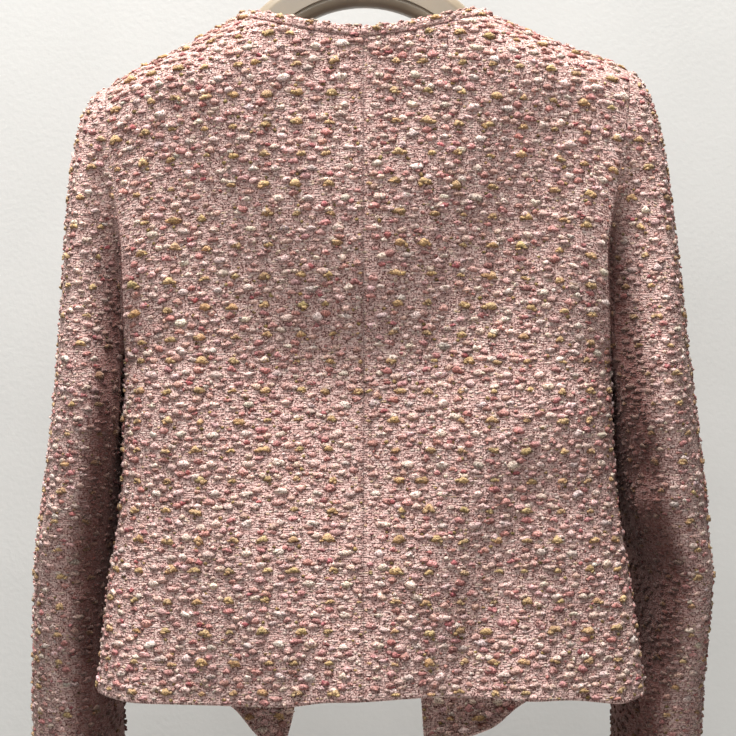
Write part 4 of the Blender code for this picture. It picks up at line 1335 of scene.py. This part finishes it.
@functools.lru_cache(None)
def weave_material():
    """Open plain weave on the cloth's own coordinates, in millimetres.

    Each thread has its number, the whole part of its place over the pitch, and a half-sine
    ridge across it.  A noise along each thread lets it come up as dashes.  Bigger curls lie
    where a cell noise allows them, and thick pale yarn runs at each yarn row.
    """
    cloth = bpy.context.scene.jacket_cloth
    n = Nodes("tweed_weave")
    # gap is the colour between the threads, and also the colour that the painted shade blends
    # towards.
    gap, ground_tint, yarn = ((*tint, 1) for tint in (
        cloth.gap_and_shade_colour, cloth.ground_colour, cloth.yarn_colour))
    place = n.add("UVMap", {}, uv_map="cloth")
    place = n.add("VectorMath", {"Vector": place, "Scale": 1000.0}, operation="SCALE")
    # Threads wander by up to about a millimetre.
    wander = n.noise(place, scale=0.085, detail=1.0, output="Color")
    wander = n.add("VectorMath", {0: wander, 1: (0.5, 0.5, 0.5)}, operation="SUBTRACT")
    moved = n.add("VectorMath", {0: wander, 1: (2.2, 2.2, 0), 2: place},
                  operation="MULTIPLY_ADD")
    u, v, _ = n.add("SeparateXYZ", {0: moved}).node.outputs

    # Fine threads both ways over a mottled ground.
    weft_number, weft_ridge = n.threads(v, cloth.weft_pitch * 1000)
    warp_number, warp_ridge = n.threads(u, cloth.warp_pitch * 1000)
    up = n.streaks(u, 0.34, weft_number, 3.17)
    dash = n.sums("MULTIPLY", n.smooth(up, 0.44, 0.60), weft_ridge)
    over = n.streaks(warp_number, 2.71, v, 0.34, 5.0)
    thread = n.sums("MULTIPLY", n.smooth(over, 0.47, 0.63), warp_ridge)
    ground = n.sums("MAXIMUM", dash, n.sums("MULTIPLY", thread, 0.9))
    grain = n.smooth(n.noise(place, scale=0.85, detail=2.0), 0.36, 0.64)
    fibre = n.ramp(n.streaks(u, 0.13, weft_number, 1.93, 9.0), (
        (0.30, srgb(206, 160, 153)), (0.46, srgb(220, 184, 177)),
        (0.60, srgb(232, 205, 197)), (0.72, srgb(218, 190, 164))))
    colour = n.blend(n.smooth(ground, 0.15, 0.75), n.blend(grain, gap, ground_tint), fibre)

    # Curls of wool in some of the cells, which are 3.8 by 2.6 mm.
    cell = n.join(n.sums("DIVIDE", u, 3.8), n.sums("DIVIDE", v, 2.6))
    near, own, _, _, _ = n.add("TexVoronoi", {"Vector": cell, "Scale": 1.0}).node.outputs
    chosen, shade, _ = n.add("SeparateColor", {0: own}).node.outputs
    curl = n.sums("SUBTRACT", 1.0, n.smooth(near, 0.12, 0.50))
    curl = n.sums("MULTIPLY", curl, n.smooth(chosen, 0.36, 0.46))
    wool = n.ramp(shade, (
        (0.0, srgb(206, 156, 150)), (0.30, srgb(228, 192, 184)),
        (0.62, srgb(242, 222, 212)), (0.94, srgb(196, 168, 124))))
    colour = n.blend(n.sums("MULTIPLY", curl, 0.85), colour, wool)

    # Rows of thick yarn, and painted shade in the seams and on the sleeves' insides.
    row = n.sums("ADD", n.sums("DIVIDE", v, cloth.yarn_pitch * 1000), 0.5)
    away = n.sums("ABSOLUTE", n.sums("SUBTRACT", n.sums("FRACT", row), 0.5))
    thick = n.sums("SUBTRACT", 1.0, n.smooth(away, 0.05, 0.24))
    shown = n.streaks(u, 0.16, n.sums("FLOOR", row), 5.3, 2.0)
    thick = n.sums("MULTIPLY", thick, n.smooth(shown, 0.36, 0.60))
    colour = n.blend(n.sums("MULTIPLY", thick, 0.20), colour, yarn)
    painted_shade_share = n.add("Attribute", {}, "Fac", attribute_name="painted_shade_share")
    colour = n.blend(n.sums("MULTIPLY", painted_shade_share, 0.85), colour, gap)

    height = n.sums("ADD", n.sums("MULTIPLY", ground, 0.3), n.sums("MULTIPLY", grain, 0.25))
    height = n.sums("ADD", height, curl)
    height = n.sums("ADD", height, n.sums("MULTIPLY", thick, 0.2))
    bump = n.add("Bump", {"Strength": 1.0, "Distance": 0.0013, "Height": height})
    return n.finish({
        "Base Color": colour, "Normal": bump, "Roughness": 0.92, "Specular IOR Level": 0.2,
        "Sheen Weight": 0.25, "Sheen Tint": (*srgb(240, 215, 208), 1), "Sheen Roughness": 0.5})


@functools.lru_cache(None)
def slub_material():
    """Matt wool in each slub's colour, painted shade included, with fine fibres wound round it."""
    n = Nodes("slub_wool")
    tint = n.add("VertexColor", {}, layer_name="fibre")
    fluff = n.noise(n.add("TexCoord", {}, "Object"), scale=850.0, detail=3.0)
    tone = n.ramp(fluff, ((0.37, (0.40, 0.31, 0.30)), (0.54, (1.0, 1.0, 1.0))))
    bump = n.add("Bump", {"Strength": 1.0, "Distance": 0.0016, "Height": fluff})
    return n.finish({
        "Base Color": n.blend(0.9, tint, tone, "MULTIPLY"), "Normal": bump,
        "Roughness": 0.9, "Specular IOR Level": 0.2, "Sheen Weight": 0.3,
        "Sheen Tint": (*srgb(245, 225, 220), 1), "Sheen Roughness": 0.5})


@functools.lru_cache(None)
def plastic_material():
    """Softly glossy moulded plastic with faint flow marks and rubbed patches."""
    colour = bpy.context.scene.jacket_hanger.plastic
    n = Nodes("moulded_plastic")
    place = n.add("TexCoord", {}, "Object")
    flow = n.noise(place, scale=35.0, detail=3.0)
    grain = n.noise(place, scale=900.0, detail=2.0)
    light = tuple(min(1.0, part * 1.12) for part in colour)
    dark = tuple(part * 0.84 for part in colour)
    return n.finish({
        "Base Color": n.ramp(flow, ((0.3, dark), (0.7, light))),
        "Roughness": n.spread(flow, 0.34, 0.48), "Specular IOR Level": 0.5,
        "Coat Weight": 0.15,
        "Normal": n.add("Bump", {"Strength": 0.15, "Distance": 0.0003, "Height": grain})})


@functools.lru_cache(None)
def steel_material():
    """Drawn bright wire with fine scratches along it."""
    n = Nodes("hook_wire")
    marks = n.noise(n.add("TexCoord", {}, "Object"), scale=600.0, detail=3.0)
    return n.finish({
        "Base Color": n.ramp(marks, ((0.3, (0.52, 0.52, 0.53)), (0.7, (0.68, 0.68, 0.68)))),
        "Roughness": n.spread(marks, 0.18, 0.34), "Specular IOR Level": 0.5,
        "Metallic": 1.0})


@functools.lru_cache(None)
def plaster_material():
    """Pale matt plaster, a little mottled.

    Seen from its back, as from behind or below the studio, it lets the view through.
    """
    colour = tuple(bpy.context.scene.jacket_studio.ground_colour)
    n = Nodes("pale_plaster")
    place = n.add("TexCoord", {}, "Object")
    mottle = n.noise(place, scale=6.0, detail=3.0)
    relief = n.noise(place, scale=220.0, detail=4.0)
    dark = tuple(part * 0.94 for part in colour)
    behind = n.add("NewGeometry", {}, "Backfacing")
    clear = n.add("BsdfTransparent", {})
    mixed = n.add("MixShader", {0: behind, 1: n.shader.outputs[0], 2: clear})
    n.put(n.tree.nodes["Material Output"].inputs[0], mixed)
    return n.finish({
        "Base Color": n.ramp(mottle, ((0.3, dark), (0.7, colour))),
        "Normal": n.add("Bump", {"Strength": 0.25, "Distance": 0.0008, "Height": relief}),
        "Roughness": 0.85, "Specular IOR Level": 0.2})


def scatter(sizes, low, high, rng, scale=1.0):
    """Places of one kind of slub over a spread of cloth: u, v, and its half sizes.

    Rows lie a repeat apart, the places in a row a fixed step apart, and each is then moved a
    little; some are left out.
    """
    cloth = bpy.context.scene.jacket_cloth
    below, every, first, chance, long, tall, thick = sizes
    rows = np.arange(math.floor(low[1] / cloth.repeat) - 1, math.ceil(high[1] / cloth.repeat) + 2)
    steps = np.arange(math.floor(low[0] / every) - 1, math.ceil(high[0] / every) + 2)
    row, step = np.meshgrid(rows, steps, indexing="ij")
    shape = row.shape
    u = step * every + first + rng.normal(0, STRAY_ALONG, shape) * every
    v = row * cloth.repeat - below + rng.normal(0, STRAY_ACROSS, shape)
    keep = rng.random(shape) < chance
    size = np.array((long, tall, thick)) / 2 * scale
    size = size * rng.uniform(*WHOLE_SIZES, shape + (1,)) * rng.uniform(*EACH_SIZES, shape + (3,))
    return u[keep], v[keep], size[keep]


def gather(parts):
    """One set of points, faces and colours from several."""
    points, faces, colours = zip(*parts)
    first = np.cumsum([0] + [len(each) for each in points[:-1]])
    faces = [each + start for each, start in zip(faces, first)]
    return np.concatenate(points), np.concatenate(faces), np.concatenate(colours)


def lay_slubs(node, weave, plain, normal, room, scale=1.0, around=False, painted_shade_share=None):
    """One object with all the slubs, thick yarns and nubs on a piece of cloth.

    They lie along the cloth's crosswise threads: the direction in which the second cloth
    coordinate keeps its value, from the slopes of points and coordinates along the grid.
    """
    rng = np.random.default_rng(CLOTH_PIECES[node][0])
    cloth = bpy.context.scene.jacket_cloth
    painted_shade_share = room * 0 if painted_shade_share is None else painted_shade_share
    if around:
        weave = closed_weave(weave)
        plain, normal, room, painted_shade_share = (np.concatenate((grid, grid[:, :1]), 1)
                                     for grid in (plain, normal, room, painted_shade_share))
    down, over = np.gradient(plain, axis=(0, 1))
    down_weave, over_weave = np.gradient(weave, axis=(0, 1))
    turn = over_weave[..., 0] * down_weave[..., 1] - down_weave[..., 0] * over_weave[..., 1]
    along = over * down_weave[..., 1:] - down * over_weave[..., 1:]
    along = np.nan_to_num(unit(along * np.sign(turn)[..., None]))
    low = weave.reshape(-1, 2).min(0)
    high = weave.reshape(-1, 2).max(0)
    parts = []

    def put(kind, u, v, size, body, arch=0.0):
        """Finds the places on the cloth and adds the spindles that lie on it."""
        row, column, found = find(weave, u, v)
        found &= sample(room, row, column) > size[:, 0] * ROOM_SHARE + ROOM_MORE
        row, column, size = row[found], column[found], size[found]
        count = len(row)
        if not count:
            return
        lean = unit(sample(normal, row, column))
        run = sample(along, row, column)
        run = run + rng.normal(0, STRAY_TURN, (count, 1)) * np.cross(lean, run)
        run = unit(run - (run * lean).sum(-1, keepdims=True) * lean)
        tint = np.array(COLOURS[kind])[rng.integers(0, len(COLOURS[kind]), count)]
        tint = tint * rng.uniform(*TONES, (count, 1)) * rng.uniform(*TINTS, (count, 3))
        # Painted shade on slubs that lie in a seam or on a sleeve's inside.
        tint = tint * (1 - SLUB_PAINTED_SHADE * sample(painted_shade_share, row, column)[:, None] * PAINTED_SHADE_TINT)
        stations, sides, lift = body
        lift = lift * rng.uniform(*LIFTS, count)
        parts.append(nubs(sample(plain, row, column), run, lean, size, lift,
                          np.clip(tint, 0, 1), stations, sides, arch, rng))

    kinds = [(kind, sizes, SLUB_BODY if sizes[-2] else FLECK_BODY, scale)
             for kind, sizes in SLUBS.items()]
    kinds += [("yarn", sizes, YARN_BODY, 1.0) for sizes in YARNS]
    for kind, (*sizes, knots, arch), body, growth in kinds:
        u, v, size = scatter(sizes, low, high, rng, growth)
        put(kind, u, v, size, body, arch)
        for _ in range(knots):
            aside = rng.uniform(*KNOTS_ALONG, len(u)) * size[:, 0]
            above = rng.uniform(*KNOTS_ABOVE, len(u)) * size[:, 1] * KNOT_RISE
            knot = size * KNOT_SIZE * rng.uniform(*KNOT_SIZES, size.shape)
            put(kind, u + aside, v + above, knot, KNOT_BODY)
    count = int((high - low).prod() * cloth.nub_density)
    u = rng.uniform(low[0], high[0], count)
    v = rng.uniform(low[1], high[1], count)
    put("nub", u, v, np.array(NUB_SIZE) * rng.uniform(*NUB_SIZES, (count, 3)), NUB_BODY)
    points, faces, tints = gather(parts)
    obj = new_object("slubs_" + node, points, faces, colours=tints)
    obj.data.materials.append(slub_material())
    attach(obj, "root")
    return obj


class JacketCloth(bpy.types.PropertyGroup):
    """Sizes and colours of the tweed."""
    thickness: bpy.props.FloatProperty(
        name="Thickness", description="Thickness of the tweed", default=0.0020,
        min=0.001, max=0.003, subtype="DISTANCE", unit="LENGTH")
    facing_thickness: bpy.props.FloatProperty(
        name="Facing thickness", description="Thickness of the strip inside a front edge",
        default=0.0016, min=0.001, max=0.003, subtype="DISTANCE", unit="LENGTH")
    weft_pitch: bpy.props.FloatProperty(
        name="Weft pitch", description="Distance between the fine crosswise threads",
        default=0.00165, min=0.0004, max=0.004, subtype="DISTANCE", unit="LENGTH")
    warp_pitch: bpy.props.FloatProperty(
        name="Warp pitch", description="Distance between the fine lengthwise threads",
        default=0.00190, min=0.0004, max=0.004, subtype="DISTANCE", unit="LENGTH")
    yarn_pitch: bpy.props.FloatProperty(
        name="Yarn pitch", description="Distance between the thick crosswise yarns",
        default=0.005375, min=0.002, max=0.02, subtype="DISTANCE", unit="LENGTH")
    repeat: bpy.props.FloatProperty(
        name="Repeat", description="Distance between two rows of gold slubs",
        default=0.0215, min=0.008, max=0.08, subtype="DISTANCE", unit="LENGTH")
    nub_density: bpy.props.FloatProperty(
        name="Nubs", description="Loose nubs on a square metre of cloth", default=8000.0,
        min=0.0, max=40000.0)
    # Colour deep between the threads, and the colour that painted shade in seams and on the
    # sleeves' insides blends to.
    gap_and_shade_colour: bpy.props.FloatVectorProperty(
        name="Gap colour", description="Colour deep between the threads",
        default=srgb(84, 40, 35), size=3, min=0.0, max=1.0, subtype="COLOR")
    ground_colour: bpy.props.FloatVectorProperty(
        name="Ground colour", description="Colour of the fine ground threads",
        default=srgb(208, 170, 162), size=3, min=0.0, max=1.0, subtype="COLOR")
    yarn_colour: bpy.props.FloatVectorProperty(
        name="Yarn colour", description="Colour of the thick yarn", default=srgb(234, 206, 198),
        size=3, min=0.0, max=1.0, subtype="COLOR")


class JacketHanger(bpy.types.PropertyGroup):
    """Sizes and colours of the hanger."""
    wire: bpy.props.FloatProperty(
        name="Wire", description="Diameter of the hook's wire", default=0.0046,
        min=0.003, max=0.008, subtype="DISTANCE", unit="LENGTH")
    plastic: bpy.props.FloatVectorProperty(
        name="Plastic", description="Colour of the hanger's body", default=srgb(148, 134, 114),
        size=3, min=0.0, max=1.0, subtype="COLOR")


class JacketStudio(bpy.types.PropertyGroup):
    """Light, ground and camera."""
    key_power: bpy.props.FloatProperty(
        name="Key light", description="Power of the soft light overhead", default=174.0,
        min=0.0, max=500.0, unit="POWER")
    fill_power: bpy.props.FloatProperty(
        name="Fill light", description="Power of the soft light by the camera", default=5.0,
        min=0.0, max=500.0, unit="POWER")
    sky: bpy.props.FloatProperty(
        name="Surrounding light", description="Strength of the even light from all round",
        default=0.05, min=0.0, max=5.0)
    ground_colour: bpy.props.FloatVectorProperty(
        name="Ground colour", description="Colour of the floor and the wall behind",
        default=srgb(200, 200, 198), size=3, min=0.0, max=1.0, subtype="COLOR")
    lens: bpy.props.FloatProperty(
        name="Lens", description="Focal length of the camera in millimetres", default=79.0,
        min=20.0, max=300.0)
    place: bpy.props.FloatVectorProperty(
        name="Camera place", description="Where the camera stands",
        default=(-0.003, 1.195, -0.354), size=3, subtype="TRANSLATION", unit="LENGTH")


def distance_to_edges(plain, around, free):
    """Shortest running length from each point of a grid to its edges.

    A free edge counts as an overhang further away, and the last column's sets no limit.
    """
    top, last, bottom, first = free
    down = running(plain, 0)
    away = [down + OVERHANG * top, down[-1:] - down + OVERHANG * bottom]
    if not around:
        across = running(plain, 1)
        away.append(across + OVERHANG * first)
        if not last:
            away.append(across[:, -1:] - across)
    return np.minimum.reduce(away)


def cover(piece, node):
    """Gives a piece of cloth its weave, and puts it in place of a CAD node."""
    piece.data.materials.append(weave_material())
    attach(piece, "root")
    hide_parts(node)


def clothe(node, grids, free, around=False, scale=1.0, dusk=0):
    outer, inner, weave, plain, normal = grids
    # Painted shade: the seam's dip in depth, or the shade given for the sleeves' insides,
    # whichever is more.
    painted_shade_share = np.maximum(np.linalg.norm(outer - plain, axis=-1) * SEAM_PAINTED_SHADE / SEAM_DIP, dusk)
    piece = wall("cloth_" + node, outer, inner, weave, normal, free, around, painted_shade_share)
    cover(piece, node)
    room = distance_to_edges(plain, around, free)
    slubs = lay_slubs(node, weave, plain, normal, room, scale, around, painted_shade_share)


class JACKET_OT_body(bpy.types.Operator):
    """Make the two back and two front panels"""
    bl_idname = "object.jacket_body"
    bl_label = "Body panels"

    def execute(self, context):
        for side in (LEFT, RIGHT):
            for face in (BACK, FRONT):
                node = FACE[face] + "_" + NAME[side]
                free = (False, False, True, face == FRONT)
                clothe(node, panel(side, face), free)
        return {"FINISHED"}


class JACKET_OT_sleeves(bpy.types.Operator):
    """Make the two sleeves"""
    bl_idname = "object.jacket_sleeves"
    bl_label = "Sleeves"

    def execute(self, context):
        for side in (LEFT, RIGHT):
            grids = [np.roll(grid, ARMHOLE_ROWS, axis=1) for grid in sleeve(side)]
            columns = grids[0].shape[1]
            # Painted shade on the sleeve's inside: full near its innermost line and below the
            # armhole.
            from_inside = np.abs((np.arange(columns) + columns / 2) % columns - columns / 2)
            dusk = ease((PAINTED_SHADE_ANGLE - from_inside * 360 / columns) / PAINTED_SHADE_SOFT)
            dusk = dusk * ease((PAINTED_SHADE_TOP - grids[3][..., 2]) / PAINTED_SHADE_DEPTH)
            clothe("sleeve_" + NAME[side], grids, (False, False, True, False),
                   around=True, scale=SLEEVE_SLUBS, dusk=dusk)
        return {"FINISHED"}


class JACKET_OT_facings(bpy.types.Operator):
    """Make the strips inside the front edges"""
    bl_idname = "object.jacket_facings"
    bl_label = "Front facings"

    def execute(self, context):
        for side in (LEFT, RIGHT):
            node = "front_facing_" + NAME[side]
            outer, inner, weave, normal = facing(side)
            piece = wall("cloth_" + node, outer, inner, weave, normal, (False, True, True, True))
            cover(piece, node)
            room = distance_to_edges(inner, False, (True, True, True, True))
            slubs = lay_slubs(node, weave, inner, -normal, room)
        return {"FINISHED"}


class JACKET_OT_binding(bpy.types.Operator):
    """Make the narrow band round the neck"""
    bl_idname = "object.jacket_binding"
    bl_label = "Neck binding"

    def execute(self, context):
        rings, length = neck_binding()
        girth = np.linspace(0, BINDING_GIRTH, rings.shape[1] + 1)
        weave = np.stack(np.broadcast_arrays(length[:, None], girth), -1)
        piece = sweep("cloth_neck_binding", rings, weave)
        cover(piece, "neck_binding")
        normal = unit(rings - rings.mean(1, keepdims=True))
        grids = (np.swapaxes(grid, 0, 1) for grid in (weave[:, :-1], rings, normal))
        slubs = lay_slubs("neck_binding", *grids, np.full(rings.shape[1::-1], 1.0), BINDING_SLUBS)
        return {"FINISHED"}


class JACKET_OT_hanger(bpy.types.Operator):
    """Make the moulded hanger with the bore for its hook"""
    bl_idname = "object.jacket_hanger_body"
    bl_label = "Hanger"

    def execute(self, context):
        piece = sweep("hanger_moulding", hanger_rings())
        bore(piece)
        piece.data.materials.append(plastic_material())
        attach(piece, "root")
        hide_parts("hanger_body")
        return {"FINISHED"}


class JACKET_OT_hook(bpy.types.Operator):
    """Make the hanger's wire hook"""
    bl_idname = "object.jacket_hook"
    bl_label = "Hook"

    def execute(self, context):
        piece = sweep("hook_wire", hook_rings())
        piece.data.materials.append(steel_material())
        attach(piece, "root")
        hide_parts("hanger_hook")
        return {"FINISHED"}


def ground_grid():
    """Points of the ground: a level floor, a quarter round bend and an upright wall.

    The bend's depth is the wall's plus r (1 - sin t), its height the floor's plus r (1 - cos t).
    """
    across = np.linspace(-GROUND_HALF, GROUND_HALF, GROUND_COLUMNS)
    turn = np.linspace(0, math.pi / 2, GROUND_ROWS)
    y = np.concatenate(([GROUND_FRONT], WALL_Y + GROUND_BEND * (1 - np.sin(turn)), [WALL_Y]))
    z = np.concatenate(([FLOOR_Z], FLOOR_Z + GROUND_BEND * (1 - np.cos(turn)), [WALL_TOP]))
    return np.stack(np.broadcast_arrays(across[:, None], y, z), -1)


def area_light(name, place, aim, size, power, colour):
    """A square soft light that looks at a point."""
    data = bpy.data.lights.new(name, "AREA")
    data.shape = "SQUARE"
    data.size = size
    data.energy = power
    data.color = colour
    light = bpy.data.objects.new(name, data)
    light.location = place
    light.rotation_euler = (Vector(aim) - Vector(place)).to_track_quat("-Z", "Y").to_euler()
    bpy.context.scene.collection.objects.link(light)


class JACKET_OT_studio(bpy.types.Operator):
    """Make the floor, the wall behind, the lights and the camera"""
    bl_idname = "scene.jacket_studio"
    bl_label = "Studio"

    def execute(self, context):
        studio = context.scene.jacket_studio
        grid = ground_grid()
        index = grid_index(*grid.shape[:2], False)
        ground = new_object("studio_ground", grid.reshape(-1, 3), quads(index))
        ground.data.materials.append(plaster_material())
        area_light("key_light", *KEY_LIGHT, studio.key_power, KEY_COLOUR)
        area_light("fill_light", *FILL_LIGHT, studio.fill_power, (1, 1, 1))
        world = bpy.data.worlds.new("surrounding")
        world.use_nodes = True
        background = world.node_tree.nodes["Background"]
        background.inputs["Color"].default_value = (*SKY_COLOUR, 1)
        background.inputs["Strength"].default_value = studio.sky
        context.scene.world = world
        data = bpy.data.cameras.new("camera")
        data.lens = studio.lens
        data.sensor_width = SENSOR_WIDTH
        camera = bpy.data.objects.new("camera", data)
        camera.location = studio.place
        camera.rotation_euler = (math.pi / 2, 0, math.pi)
        context.scene.collection.objects.link(camera)
        context.scene.camera = camera
        context.scene.view_settings.view_transform = "Standard"
        return {"FINISHED"}


class JACKET_PT_panel(bpy.types.Panel):
    """Sizes, colours and makers of the jacket"""
    bl_label = "Jacket"
    bl_idname = "JACKET_PT_panel"
    bl_space_type = "VIEW_3D"
    bl_region_type = "UI"
    bl_category = "Jacket"

    def draw(self, context):
        layout = self.layout
        for group in GROUPS:
            box = layout.box()
            settings = getattr(context.scene, group)
            for name in settings.__annotations__:
                box.prop(settings, name)
        for operator in OPERATORS:
            layout.operator(operator.bl_idname)


OPERATORS = (JACKET_OT_studio, JACKET_OT_body, JACKET_OT_sleeves, JACKET_OT_facings,
             JACKET_OT_binding, JACKET_OT_hanger, JACKET_OT_hook)
GROUPS = {"jacket_cloth": JacketCloth, "jacket_hanger": JacketHanger,
          "jacket_studio": JacketStudio}


def register():
    """Adds the settings, the operators and the panel to Blender."""
    for group in GROUPS.values():
        bpy.utils.register_class(group)
    for operator in OPERATORS:
        bpy.utils.register_class(operator)
    bpy.utils.register_class(JACKET_PT_panel)
    for name, group in GROUPS.items():
        setattr(bpy.types.Scene, name, bpy.props.PointerProperty(type=group))


def unregister():
    """Takes them away again."""
    for name in GROUPS:
        delattr(bpy.types.Scene, name)
    bpy.utils.unregister_class(JACKET_PT_panel)
    for operator in reversed(OPERATORS):
        bpy.utils.unregister_class(operator)
    for group in reversed(GROUPS.values()):
        bpy.utils.unregister_class(group)


def main():
    register()
    bpy.ops.scene.jacket_studio()
    bpy.ops.object.jacket_body()
    bpy.ops.object.jacket_sleeves()
    bpy.ops.object.jacket_facings()
    bpy.ops.object.jacket_binding()
    bpy.ops.object.jacket_hanger_body()
    bpy.ops.object.jacket_hook()


if __name__ == "__main__":
    main()
